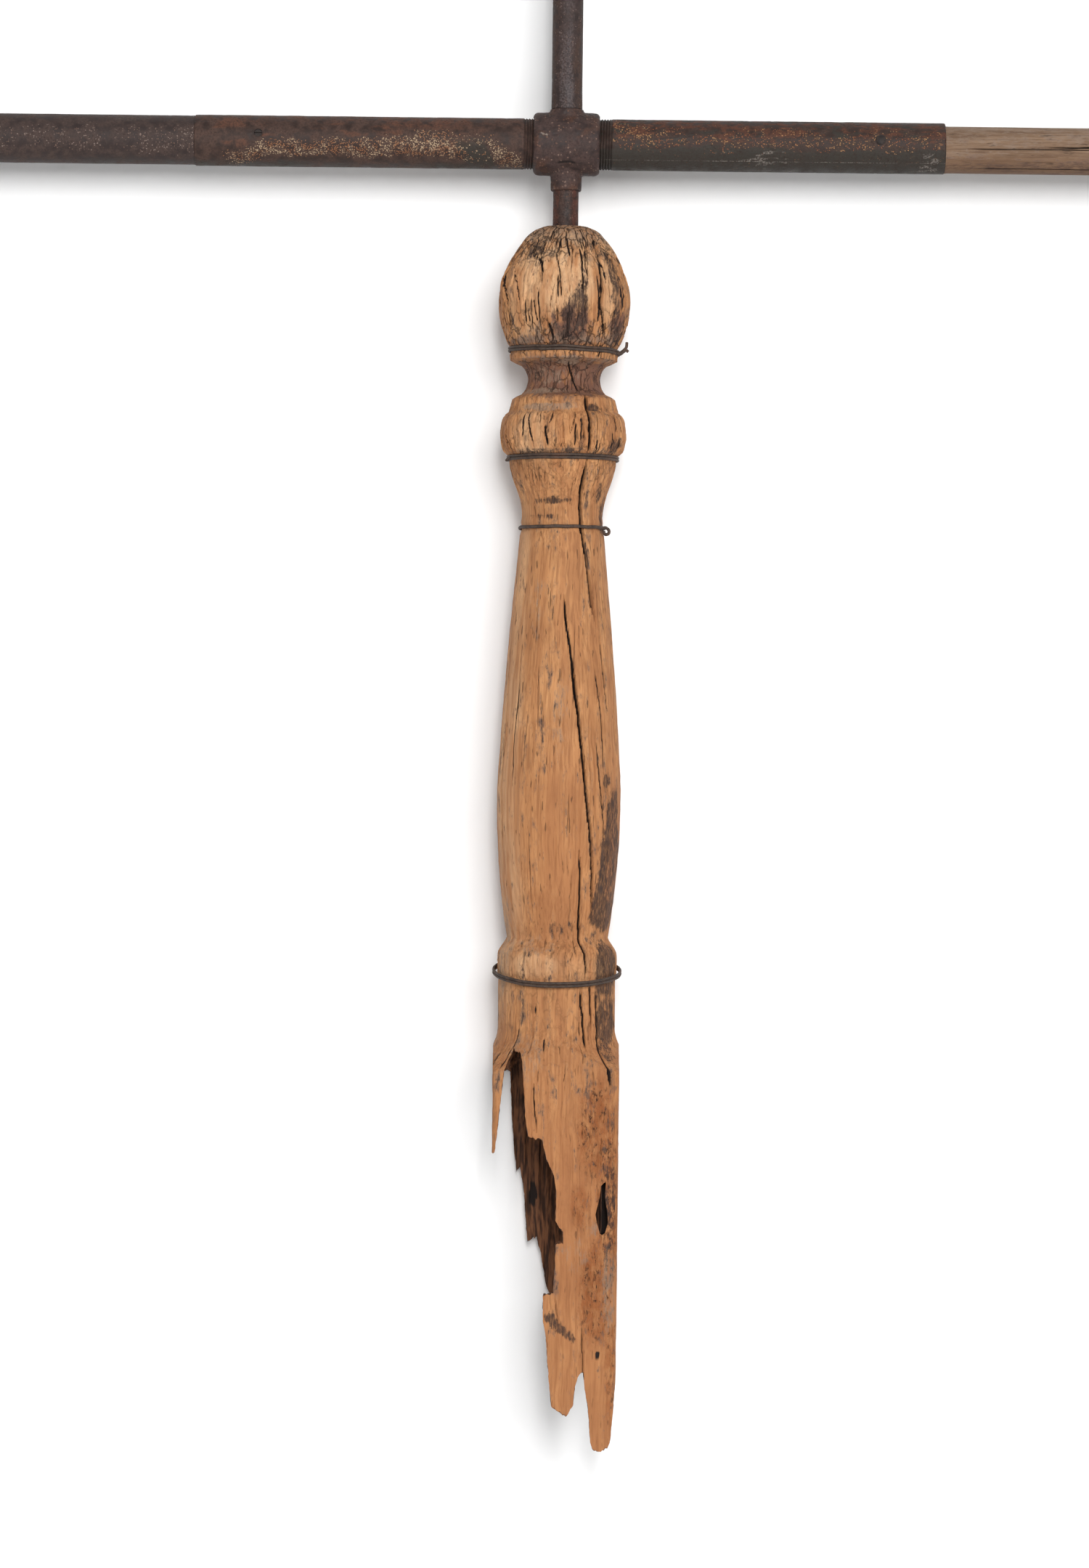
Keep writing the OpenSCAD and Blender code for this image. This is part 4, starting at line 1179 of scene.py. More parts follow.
        # Painted shade: the deep part of the knot hole on the front is darkened by depth. The ring of an old
        # knot inside the hollow is the wood's own dark colour.
        near_knot = (np.abs(points[:, 0] - 38.5) < 9) * (np.abs(height - 199) < 26)
        in_knot = smooth_step(1.5, 5.0, sunk) * near_knot
        in_knot = in_knot * (points[:, 1] < -30)
        ring = np.hypot((points[:, 0] + 17.5) / 3.4, (height - 203) / 9.5)
        ring = ring + 0.5 * self.fine.layered(points[:, 0] / 2.5, points[:, 1] / 2.5, height / 6, 2)
        old_knot = smooth_step(1.2, 0.8, ring) * (points[:, 1] > 25)
        dark = np.maximum(in_knot, old_knot * inside)
        set_mark(post, "check", np.maximum(self.sample(self.check, turn, height) * outside, dark))
        set_mark(post, "stain", self.sample(self.patch_map(self.stains), turn, height) * outside)
        set_mark(post, "blush", self.sample(self.patch_map(self.blushes), turn, height))
        set_mark(post, "grey", self.sample(self.patch_map(self.greys_and_left_highlight), turn, height) * outside)
        set_mark(post, "torn", self.sample(self.torn, turn, height) * outside)
        set_mark(post, "net", np.interp(height, *zip(*self.net_knots)) * outside)
        set_mark(post, "tan", np.interp(height, *zip(*self.tan_knots)))
        set_mark(post, "cream", self.sample(self.patch_map(self.creams_and_left_light), turn, height))
        heights, amounts = (0, 300, 420, 460, 740, 1000), (0.4, 0.55, 0.55, 0.75, 0.75, 0.8)
        set_mark(post, "dashes", np.interp(height, heights, amounts) * outside)


# ---------------------------------------------------------------- round iron and wood


class Lie(Enum):
    """Which way a round piece's axis runs."""

    UP = "up"
    LEFT = "left"
    RIGHT = "right"


Z_ARM = 1073.0
HALF_CROSS = 27.5
HALF_SPAN = 560.0
PITCH = 2.31
SCREW_X = -253.8
NAIL_X = 258.4
FASTENER_TILT = 12


def dense(line: Sequence[tuple[float, float]], step: float, closed: bool = True) -> Array:
    """A section's outline with points no further apart than step.

    Args:
        line: The outline's corners.
        step: The greatest distance between two points.
        closed: Whether the outline returns to its first corner.

    Returns:
        The points, one a row.
    """
    corners = np.array(line, float)
    ends = np.roll(corners, -1, axis=0) if closed else corners[1:]
    parts = []
    for start, end in zip(corners, ends):
        count = max(int(math.ceil(np.linalg.norm(end - start) / step)), 1)
        parts.append(start + (end - start) * np.arange(count)[:, None] / count)
    if not closed:
        parts.append(corners[-1:])
    return np.concatenate(parts)


@dataclass
class RoundPiece:
    """A piece turned about one axis from a section of (radius, distance along)."""

    name: str
    section: Array
    lie: Lie
    columns: int = 128
    closed: bool = True
    drop: float = 0.0
    relief: Optional[Callable[[Array, Array, Array], Array]] = None

    def place(self, radius: Array, turn: Array, along: Array) -> Array:
        """Points in the row frame. Turn 0 is the front, and a quarter is the right or the top."""
        front, other = -radius * np.cos(turn), radius * np.sin(turn)
        if self.lie is Lie.UP:
            return np.stack([other, front, along], -1)
        sign = -1 if self.lie is Lie.LEFT else 1
        return np.stack([sign * along, front, Z_ARM - self.drop + other], -1)

    def build(self) -> bpy.types.Object:
        """The mesh."""
        turn = np.linspace(0, 2 * np.pi, self.columns, endpoint=False)[None, :]
        radius, along = self.section[:, 0][:, None], self.section[:, 1][:, None]
        radius, along, turn = np.broadcast_arrays(radius, along, turn)
        if self.relief:
            radius = radius + self.relief(radius, turn, along)
        rings = self.place(radius, turn, along)
        if self.closed:
            points, faces = rings.reshape(-1, 3), grid_faces(*rings.shape[:2], loop=True)
        else:
            points, faces = capped_tube(rings)
        return new_piece(self.name, points, faces)

    def coordinates(self, piece: bpy.types.Object) -> tuple[Array, Array, Array]:
        """Each vertex's radius, turn and distance along the axis."""
        points = points_of(piece)
        if self.lie is Lie.UP:
            other, along = points[:, 0], points[:, 2]
        else:
            other, along = points[:, 2] - Z_ARM + self.drop, np.abs(points[:, 0])
        return np.hypot(points[:, 1], other), np.arctan2(other, -points[:, 1]), along


@dataclass
class ArmPipe:
    """One of the two threaded pipes that screw into the cross."""

    side: Side
    reach: float
    threads: int
    radius: float = 21.1
    bore: float = 17.5
    start: float = 13.5
    thread_depth: float = 1.1
    rounding: float = 1.2

    def __post_init__(self) -> None:
        """Chooses the pattern of dents and the end of the thread."""
        self.noise = Noise(40 + self.side.value)
        self.thread_end = HALF_CROSS + self.threads * PITCH

    def relief(self, radius: Array, turn: Array, along: Array) -> Array:
        """The thread's helix, and the dents and pits of old iron.

        Args:
            radius: How far each point is from the pipe's axis.
            turn: Each point's angle round the axis.
            along: How far each point is from the post's axis.

        Returns:
            How far each point moves out.
        """
        outer = radius > self.bore + 1.0
        phase = (along / PITCH - self.side.value * turn / (2 * np.pi)) % 1
        tooth = np.abs(phase * 2 - 1) ** 0.8
        run_out = 1 - smooth_step(self.thread_end - 0.4, self.thread_end + 1.6, along)
        x, y = np.cos(turn) * self.radius, np.sin(turn) * self.radius
        dents = 0.16 * self.noise.layered(x / 9, y / 9, along / 14, 3)
        pits = -0.32 * smooth_step(0.12, 0.4, self.noise.at(x / 2.2, y / 2.2, along / 2.6))
        ragged = self.noise.layered(x / 5, y / 5, along * 0 + 2.2, 2)
        end = smooth_step(self.reach - 4, self.reach, along)
        plain = (dents + pits - 0.12) * (1 - run_out) - 0.5 * end * np.abs(ragged)
        return np.where(outer, plain - self.thread_depth * tooth * run_out, 0.0)

    def build(self) -> bpy.types.Object:
        """The pipe with its thread, its rounded end and its fastener's hole."""
        bend = np.linspace(0, np.pi / 2, 5)
        corner = [(self.radius - self.rounding * (1 - math.cos(a)),
                   self.reach - self.rounding * (1 - math.sin(a))) for a in bend]
        section = np.concatenate([
            dense([(self.radius, self.start), (self.radius, self.thread_end + 2)], PITCH / 8, closed=False),
            dense([(self.radius, self.thread_end + 4), (self.radius, self.reach - 4)], 1.9, closed=False),
            np.array(corner), dense([(self.bore, self.reach), (self.bore, self.start)], 12, closed=False)])
        lie = Lie.LEFT if self.side is Side.LEFT else Lie.RIGHT
        name = f"arm_pipe_{self.side.name.lower()}_iron"
        shape = RoundPiece(name, section, lie, columns=144, relief=self.relief)
        pipe = shape.build()
        if self.side is Side.LEFT:
            cut(pipe, fastener_shaft(Side.LEFT, 3.25, 14.0, 25.0))
        else:
            cut(pipe, fastener_shaft(Side.RIGHT, 2.0, 14.0, 25.0))
        soften(pipe, 38)
        self.mark(pipe, shape)
        return pipe

    def mark(self, pipe: bpy.types.Object, shape: RoundPiece) -> None:
        """Stores where old paint, moss green and bright rust lie.

        Args:
            pipe: The finished pipe.
            shape: The round shape that it was made from.
        """
        radius, turn, along = shape.coordinates(pipe)
        up = np.sin(turn)
        x, y = np.cos(turn) * 2, up * 2
        cloud = self.noise.layered(x, y, along / 34, 3)
        fine = self.noise.layered(x * 3, y * 3, along / 9, 2)
        if self.side is Side.LEFT:
            low = -0.62 - 0.3 * smooth_step(110, 60, along) - 0.3 * smooth_step(235, 275, along)
            high = 0.12 + 0.2 * np.sin((along - 40) / 110 * np.pi)
            high = high - 0.75 * smooth_step(75, 38, along) - 0.7 * smooth_step(240, 280, along)
            band = smooth_step(low - 0.12, low + 0.1, up + 0.2 * cloud)
            band = band * (1 - smooth_step(high - 0.3, high + 0.22, up + 0.35 * cloud + 0.1 * fine))
            run = smooth_step(31, 40, along + 8 * cloud) * (1 - smooth_step(268, 284, along + 10 * cloud))
            gap = 1 - 0.8 * smooth_step(16, 7, np.abs(along - 78 + 10 * fine - 12 * up))
            fleck = band * run * gap * 0.82 + 0.03
            green = smooth_step(22, 8, np.abs(along - 80 - 12 * up)) * smooth_step(0.5, -0.3, up) * 0.7
            green = np.maximum(green, smooth_step(-0.62, -0.95, up) * 0.6)
            warm = smooth_step(-0.3, 0.7, up + 0.7 * cloud) * 0.5 + 0.5 * smooth_step(0.1, 0.5, cloud)
            pale = np.zeros_like(up)
        else:
            drift = up + 0.5 * cloud
            middle = smooth_step(-0.35, 0.0, drift) * (1 - smooth_step(0.25, 0.6, drift))
            start = smooth_step(0.35, 0.1, np.abs(up - 0.2 + (along - 62) / 45)) * smooth_step(85, 70, along)
            fleck = np.maximum(middle * (0.22 + 0.34 * smooth_step(-0.1, 0.3, fine)), start * 0.5) + 0.05
            green = smooth_step(0.0, -0.35, up + 0.3 * cloud + 0.15 * fine) * 0.95
            green = np.maximum(green, smooth_step(0.12, 0.4, fine + 0.7 * cloud) * 0.8)
            warm = 0.15 + 0.75 * smooth_step(0.15, -0.25, fine + 0.6 * cloud)
            warm = smooth_step(-0.3, 0.35, drift) * warm
            pale = smooth_step(0.25, 0.6, fine + 0.4 * cloud) * smooth_step(0.1, -0.3, up) * 0.5
            seam = smooth_step(0.02, 0.004, np.abs(turn + math.radians(42.5) + 0.004 * fine))
            pale = np.maximum(pale, seam * 0.9)
            patch = smooth_step(34, 14, np.abs(along - 168)) + smooth_step(16, 6, np.abs(along - 300))
            patch = patch * smooth_step(0.0, 0.35, fine + 0.1) * smooth_step(-0.1, -0.4, up) * 0.8
            pale = np.maximum(pale, patch)
        thread = 1 - smooth_step(self.thread_end, self.thread_end + 2.5, along)
        set_mark(pipe, "fleck", fleck * (1 - thread))
        set_mark(pipe, "green", green)
        set_mark(pipe, "warm", warm * (1 - thread))
        set_mark(pipe, "pale", pale)
        hole = fastener_distance(self.side, points_of(pipe))
        rim = 0
        if self.side is Side.LEFT:
            rim = smooth_step(5.2, 3.5, hole) * 0.6 + smooth_step(3.9, 3.3, hole) * 0.4
        # Painted shade: the thread's grooves, the rim of the left screw hole and the inside of the bore are
        # darkened.
        groove = np.maximum(thread * smooth_step(self.radius - 0.35, self.radius - 1.0, radius), rim)
        inside = smooth_step(self.bore + 2.4, self.bore + 0.6, radius)
        set_mark(pipe, "dark", np.maximum(groove * 0.5, inside))


def fastener_axis(side: Side) -> tuple[Array, Array]:
    """The point of an arm's axis that its fastener aims at, and the way out along the fastener."""
    tilt = math.radians(FASTENER_TILT)
    aim = np.array([SCREW_X if side is Side.LEFT else NAIL_X, 0, Z_ARM])
    return aim, np.array([0, -math.cos(tilt), math.sin(tilt)])


def fastener_distance(side: Side, points: Array) -> Array:
    """How far points in front of the arms are from a fastener's axis.

    Args:
        side: The arm that the fastener is in.
        points: The points, one a row.

    Returns:
        The distance of each point, and a large one behind the arms.
    """
    aim, way = fastener_axis(side)
    apart = points - aim
    along = apart @ way
    return np.where(along > 0, np.linalg.norm(apart - along[:, None] * way, axis=1), 99.0)


def fastener_shaft(side: Side, radius: float, low: float, high: float) -> bpy.types.Object:
    """A rod on a fastener's axis that cuts its hole.

    Args:
        side: The arm that the fastener is in.
        radius: The hole's radius.
        low: Where the rod starts, as a distance from the arm's axis.
        high: Where it ends.

    Returns:
        The closed rod.
    """
    aim, way = fastener_axis(side)
    path = aim + way * np.linspace(low, high, 6)[:, None]
    rings = rod_points(path, np.full(6, radius), 24)
    return new_piece("shaft_cutter", *capped_tube(rings))


@dataclass
class BarNail:
    """The round-headed nail that holds the wooden bar."""

    head_r: float = 4.3
    shank_r: float = 1.9
    head_low: float = 21.0
    head_t: float = 1.5
    length: float = 32.0

    def build(self) -> bpy.types.Object:
        """The nail with a low, hammered dome."""
        noise = Noise(61)
        aim, way = fastener_axis(Side.RIGHT)
        stations = [(self.head_low + 0.1 - self.length, 0.5), (self.head_low - 26, self.shank_r),
                    (self.head_low - 0.3, self.shank_r), (self.head_low - 0.2, self.head_r - 0.5),
                    (self.head_low + 0.35, self.head_r), (self.head_low + 0.75, self.head_r - 0.35),
                    (self.head_low + 1.15, self.head_r - 1.4),
                    (self.head_low + self.head_t - 0.1, self.head_r - 2.8),
                    (self.head_low + self.head_t, 0.4)]
        path = aim + way * np.array([station[0] for station in stations])[:, None]
        rings = rod_points(path, np.array([station[1] for station in stations]), 36)
        bumps = noise.layered(rings[..., 0] / 2, rings[..., 1] / 2, rings[..., 2] / 2, 2)
        rings = rings + way * 0.16 * bumps[..., None]
        nail = new_piece("bar_nail_head", *capped_tube(rings))
        set_mark(nail, "warm", np.full(len(nail.data.vertices), 0.2))
        return nail


@dataclass
class Extension:
    """The slimmer pipe that is swaged into the left arm pipe."""

    reach: float = 306.8
    spigot: float = 100.0
    radius: float = 20.3
    spigot_r: float = 17.45
    bore: float = 14.95

    def relief(self, radius: Array, turn: Array, along: Array) -> Array:
        """Dents and small pits."""
        noise = Noise(51)
        x, y = np.cos(turn) * self.radius, np.sin(turn) * self.radius
        dents = 0.14 * noise.layered(x / 10, y / 10, along / 16, 3)
        pits = -0.26 * smooth_step(0.15, 0.42, noise.at(x / 2, y / 2, along / 2.4))
        return np.where(radius > self.spigot_r + 0.5, dents + pits - 0.1, 0.0)

    def build(self) -> bpy.types.Object:
        """The pipe, open at its far end."""
        far, near = HALF_SPAN, self.reach
        section = np.concatenate([
            dense([(self.spigot_r, near - self.spigot), (self.spigot_r, near - 0.4)], 10, closed=False),
            dense([(self.radius, near), (self.radius, far - 0.6)], 1.9, closed=False),
            dense([(self.radius - 0.6, far), (self.bore, far)], 1.4, closed=False),
            dense([(self.bore, far - 1), (self.bore, near - self.spigot)], 12, closed=False)])
        shape = RoundPiece("arm_extension_left_iron", section, Lie.LEFT, columns=120, relief=self.relief)
        pipe = shape.build()
        cut(pipe, fastener_shaft(Side.LEFT, 2.34, 10.0, 19.5))
        soften(pipe, 38)
        radius, turn, along = shape.coordinates(pipe)
        up, noise = np.sin(turn), Noise(52)
        cloud = noise.layered(np.cos(turn) * 2, up * 2, along / 36, 3)
        fine = noise.layered(np.cos(turn) * 6, up * 6, along / 10, 2)
        middle = smooth_step(0.75, 0.3, np.abs(up + 0.05 + 0.3 * cloud))
        set_mark(pipe, "fleck", middle * (0.2 + 0.25 * np.clip(cloud + fine, -0.5, 1)))
        set_mark(pipe, "pale", smooth_step(0.2, 0.85, up + 0.4 * cloud) * 0.5)
        set_mark(pipe, "warm", smooth_step(0.1, 0.5, cloud) * 0.5)
        set_mark(pipe, "green", smooth_step(-0.5, -0.9, up) * 0.35)
        # Painted shade inside the bore.
        set_mark(pipe, "dark", smooth_step(self.bore + 1.5, self.bore + 0.3, radius))
        return pipe


@dataclass
class WoodBar:
    """The wooden bar that fills the right arm pipe and runs on beyond it."""

    reach: float = 312.4
    spigot: float = 100.0
    radius: float = 19.5
    spigot_r: float = 17.4
    drop: float = 1.0
    splits: tuple[tuple[float, float, float, float, float], ...] = (
        (322, 450, -3, 0.4, 1.2), (388, 560, 2, 0.7, 2.4), (336, 400, -17, 0.25, 0.6),
        (470, 560, 16, 0.3, 0.7),
        (340, 420, 24, 0.2, 0.5), (392, 500, 38, 0.22, 0.5), (420, 520, -30, 0.25, 0.6),
        (330, 520, 75, 0.6, 1.4), (316, 560, -58, 0.6, 1.4), (350, 560, 130, 0.9, 2.4),
        (316, 480, 170, 0.6, 1.6), (390, 560, -110, 0.8, 1.8), (316, 430, -140, 0.6, 1.4))

    def groove(self, turn: Array, along: Array) -> tuple[Array, Array]:
        """The bar's long splits.

        Args:
            turn: Each point's angle round the bar.
            along: How far each point is from the post's axis.

        Returns:
            How deep the splits are, and how strongly each point is painted dark as the shade in a split.
        """
        depth, seen = np.zeros(turn.shape), np.zeros(turn.shape)
        noise = Noise(71)
        for low, high, degrees, width, deep in self.splits:
            share = (along - low) / (high - low)
            taper = np.clip(np.minimum(share, 1 - share + (high >= HALF_SPAN)) * 6, 0, 1)
            wander = noise.at(along / 22, along * 0 + degrees, along * 0 + 0.5)
            middle = math.radians(degrees) + 0.035 * wander
            across = np.abs((turn - middle + np.pi) % (2 * np.pi) - np.pi) * self.radius
            half = width / 2 * taper
            depth = np.maximum(depth, deep * taper * (1 - smooth_step(half * 0.5, half * 1.3 + 0.3, across)))
            shade = min(1.7 * width, 1) * taper * (1 - smooth_step(half * 0.8, half + 0.45, across))
            seen = np.maximum(seen, shade)
        return depth, seen

    def relief(self, radius: Array, turn: Array, along: Array) -> Array:
        """Long grain ridges and the splits."""
        noise = Noise(72)
        x, y = np.cos(turn) * radius, np.sin(turn) * radius
        ridge = 0.22 * noise.layered(x / 2.6, y / 2.6, along / 70, 2)
        swell = 0.35 * noise.layered(x / 16, y / 16, along / 90, 2)
        outside = smooth_step(self.reach - 1, self.reach + 2, along) * (radius > 12)
        end = smooth_step(HALF_SPAN - 2.5, HALF_SPAN, along) * 0.8
        return (np.minimum(ridge + swell, 0.1) - 0.2 - self.groove(turn, along)[0] - end) * outside

    def build(self) -> bpy.types.Object:
        """The bar, with its sawn far end."""
        tenon = self.reach - self.spigot
        section = np.concatenate([
            dense([(6, tenon), (self.spigot_r, tenon + 0.5)], 6, closed=False),
            dense([(self.spigot_r, tenon + 8), (self.spigot_r, self.reach - 0.6)], 12, closed=False),
            dense([(self.radius, self.reach), (self.radius, HALF_SPAN - 3)], 2.6, closed=False),
            dense([(self.radius, HALF_SPAN - 2), (self.radius, HALF_SPAN)], 1, closed=False),
            dense([(self.radius - 2.5, HALF_SPAN), (1.5, HALF_SPAN)], 2.5, closed=False)])
        shape = RoundPiece("arm_bar_right_wood", section, Lie.RIGHT, columns=200, closed=False,
                           drop=self.drop, relief=self.relief)
        bar = shape.build()
        cut(bar, fastener_shaft(Side.RIGHT, 2.0, -12.0, 20.0))
        soften(bar, 42)
        radius, turn, along = shape.coordinates(bar)
        noise = Noise(73)
        cloud = noise.layered(np.cos(turn) * 2, np.sin(turn) * 2, along / 60, 3)
        # Painted shade: the splits are painted dark through the check mark.
        seen = self.groove(turn, along)[1] * (radius > self.radius - 5)
        set_mark(bar, "check", seen)
        # Greyer and lighter on top, darker and browner underneath.
        set_mark(bar, "grey", 0.35 + 0.35 * np.sin(turn) + 0.4 * cloud)
        set_mark(bar, "stain", 0.55 * smooth_step(-0.35, -0.9, np.sin(turn)) + 0.15 * cloud)
        set_mark(bar, "tan", 0.9 * smooth_step(0.1, -0.7, np.sin(turn)))
        set_mark(bar, "dashes", np.full(len(radius), 0.6))
        return bar


@dataclass
class UprightPipe:
    """The mast over the cross, or the spindle under it."""

    name: str
    outer: tuple[tuple[float, float], ...]
    bore: float
    seed: int
    wear: float = 0.14
    columns: int = 96

    def relief(self, radius: Array, turn: Array, along: Array) -> Array:
        """Dents and pits on the outside."""
        noise = Noise(self.seed)
        x, y = np.cos(turn) * radius, np.sin(turn) * radius
        dents = self.wear * noise.layered(x / 7, y / 7, along / 15, 3)
        pits = -self.wear * 2 * smooth_step(0.12, 0.4, noise.at(x / 1.9, y / 1.9, along / 2.3))
        return np.where(radius > self.bore + 0.6, dents + pits - 0.08, 0.0)

    def build(self) -> bpy.types.Object:
        """The pipe, marked by side: a paler band down its front as a painted highlight, warm rust on its
        edges and a green band near its middle.
        """
        low, high = self.outer[0][1], self.outer[-1][1]
        section = np.concatenate([dense(self.outer, 2.0, closed=False),
                                  dense([(self.bore, high), (self.bore, low)], 12, closed=False)])
        shape = RoundPiece(self.name, section, Lie.UP, columns=self.columns, relief=self.relief)
        pipe = shape.build()
        soften(pipe, 38)
        radius, turn, along = shape.coordinates(pipe)
        noise = Noise(self.seed + 1)
        cloud = noise.layered(np.sin(turn) * 2, np.cos(turn) * 2, along / 40, 3)
        across = np.sin(turn)
        # Painted highlight: a paler band down the front. The warm edges and the green band near the middle
        # are the iron's own rust.
        set_mark(pipe, "pale", smooth_step(0.75, 0.25, np.abs(across) + 0.3 * cloud) * 0.75)
        set_mark(pipe, "warm", smooth_step(0.35, 0.8, np.abs(across) + 0.4 * cloud) * 0.7)
        set_mark(pipe, "green", smooth_step(0.34, 0.12, np.abs(across - 0.1) + 0.4 * np.abs(cloud)) * 0.6)
        set_mark(pipe, "fleck", 0.12 + 0.2 * np.clip(cloud, 0, 1))
        # Painted shade inside the bore.
        set_mark(pipe, "dark", smooth_step(self.bore + 1.5, self.bore + 0.3, radius))
        return pipe


@dataclass
class CrossCasting:
    """The cast cross that joins both arms, the mast and the spindle."""

    voxel: float = 0.8
    spindle_bore: float = 10.78
    arm_bore: float = 21.2
    arm_bore_start: float = 13.5
    mast_bore: float = 12.46

    def build(self) -> bpy.types.Object:
        """The CAD cross with softened edges, a cast skin and clean bores."""
        cross = bpy.data.objects.new("cross_casting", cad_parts["cross_fitting"].data.copy())
        bpy.context.scene.collection.objects.link(cross)
        remesh = cross.modifiers.new("skin", "REMESH")
        remesh.mode, remesh.voxel_size = "VOXEL", self.voxel * MM
        smooth = cross.modifiers.new("soft", "SMOOTH")
        smooth.factor, smooth.iterations = 0.5, 15
        bake_modifiers(cross)
        for name in [mark.name for mark in cross.data.attributes if mark.name.startswith("_")]:
            cross.data.attributes.remove(cross.data.attributes[name])
        points, noise = points_of(cross), Noise(81)
        normals = np.zeros(len(points) * 3)
        cross.data.vertex_normals.foreach_get("vector", normals)
        lumps = noise.layered(*(points.T / 6.0), 3) * 0.34
        pits = smooth_step(0.15, 0.42, noise.at(*(points.T / 2.1))) * 0.3
        move_points(cross, points + normals.reshape(-1, 3) * (lumps - pits + 0.1)[:, None])
        for lie, radius, low, high in ((Lie.LEFT, self.arm_bore, self.arm_bore_start, 29.5),
                                       (Lie.RIGHT, self.arm_bore, self.arm_bore_start, 29.5),
                                       (Lie.UP, self.spindle_bore, 1030.0, 1079.0),
                                       (Lie.UP, self.mast_bore, 1080.0, 1104.0)):
            rod = dense([(radius, low), (radius, high)], 4, closed=False)
            cut(cross, RoundPiece("bore_cutter", rod, lie, columns=96, closed=False).build())
        soften(cross, 38)
        points = points_of(cross)
        x, y, z = points.T
        cloud = noise.layered(x / 14, y / 14, z / 14, 3)
        set_mark(cross, "warm", 0.4 + 0.7 * cloud)
        set_mark(cross, "fleck", 0.14 + 0.22 * np.clip(cloud, 0, 1))
        # Painted shadow: a dark crescent on the front, low on the cross where its body meets the collar
        # below.
        bow = z - (Z_ARM - 16.5 - 0.012 * x ** 2 * 1.2)
        painted_crescent_shadow = smooth_step(1.2, 0.4, np.abs(bow)) * smooth_step(8.5, 6.0, np.abs(x - 0.3)) * (y < -18)
        set_mark(cross, "dark", painted_crescent_shadow * 0.9)
        scratch = smooth_step(1.3, 0.6, np.abs(z - Z_ARM - 5.4 + 0.25 * (x + 18)))
        scratch = scratch * smooth_step(4, 2, np.abs(x + 18))
        set_mark(cross, "pale", scratch * (y < -15) * 1.2 + smooth_step(0.3, 0.5, cloud) * 0.3)
        return cross


# ---------------------------------------------------------------- wires


@dataclass
class BindingWire:
    """Turns of iron wire round the post, with the end that stands off them."""

    name: str
    ring_r: float
    height: float
    wire_r: float
    strands: int = 2
    sag: float = 0.0
    lean: float = 0.0
    waver: float = 0.5
    seed: int = 90
    tails: tuple[tuple[tuple[float, float, float], ...], ...] = ()
    tail_r: float = 1.1

    def strand(self, number: int) -> Array:
        """One closed turn's centre line, twisted round its neighbour.

        Args:
            number: Which of the wire's turns it is.

        Returns:
            The line's points, one a row.
        """
        turn = np.linspace(0, 2 * np.pi, 220, endpoint=False)
        noise = Noise(self.seed)
        around = 1.5 * turn + number * np.pi if self.strands > 1 else turn * 0
        closing = np.sin(turn / 2) ** 0.5
        apart = self.wire_r * 1.12 if self.strands > 1 else 0.0
        side = -1 if number else 1
        swing = side * apart * (1 - 0.5 * closing * (1 - np.cos(around)) * 0.4)
        drift = self.waver * noise.layered(np.cos(turn) * 2.2, np.sin(turn) * 2.2, turn * 0 + 0.3, 2)
        radius = self.ring_r + 0.12 * noise.at(np.cos(turn) * 6, np.sin(turn) * 6, turn * 0 + number)
        height = self.height + swing + drift - self.sag * np.cos(turn) + self.lean * np.sin(turn)
        return np.stack([radius * np.sin(turn), -radius * np.cos(turn), height], 1)

    def build(self) -> bpy.types.Object:
        """The wire as one piece."""
        parts = []
        for number in range(self.strands):
            path = self.strand(number)
            path = np.concatenate([path, path[:1]])
            rings = rod_points(path, np.full(len(path), self.wire_r), 12)[:-1]
            points = rings.reshape(-1, 3)
            parts.append(new_piece(self.name, points, grid_faces(len(rings), 12, loop=True), 60))
        for tail in self.tails:
            knots = np.array(tail, float)
            share = np.linspace(0, len(knots) - 1, 14 * (len(knots) - 1))
            path = np.stack([smooth_line(knots[:, axis], share) for axis in range(3)], 1)
            radius = np.full(len(path), self.tail_r)
            radius[0] = radius[-1] = self.tail_r * 0.6
            parts.append(new_piece(self.name, *capped_tube(rod_points(path, radius, 12)), 60))
        wire = join(parts, self.name) if len(parts) > 1 else parts[0]
        points = points_of(wire)
        cloud = Noise(self.seed + 1).layered(*(points.T / 9.0), 2)
        set_mark(wire, "warm", 0.35 + 0.8 * cloud)
        return wire


def smooth_line(values: Array, share: Array) -> Array:
    """A smooth curve through evenly spaced values."""
    padded = np.concatenate([[2 * values[0] - values[1]], values, [2 * values[-1] - values[-2]]])
    index = np.clip(np.floor(share).astype(int), 0, len(values) - 2)
    t = share - index
    a, b, c, d = (padded[index + step] for step in range(4))
    return 0.5 * (2 * b + (c - a) * t + (2 * a - 5 * b + 4 * c - d) * t ** 2
                  + (3 * b - a - 3 * c + d) * t ** 3)


# ---------------------------------------------------------------- studio


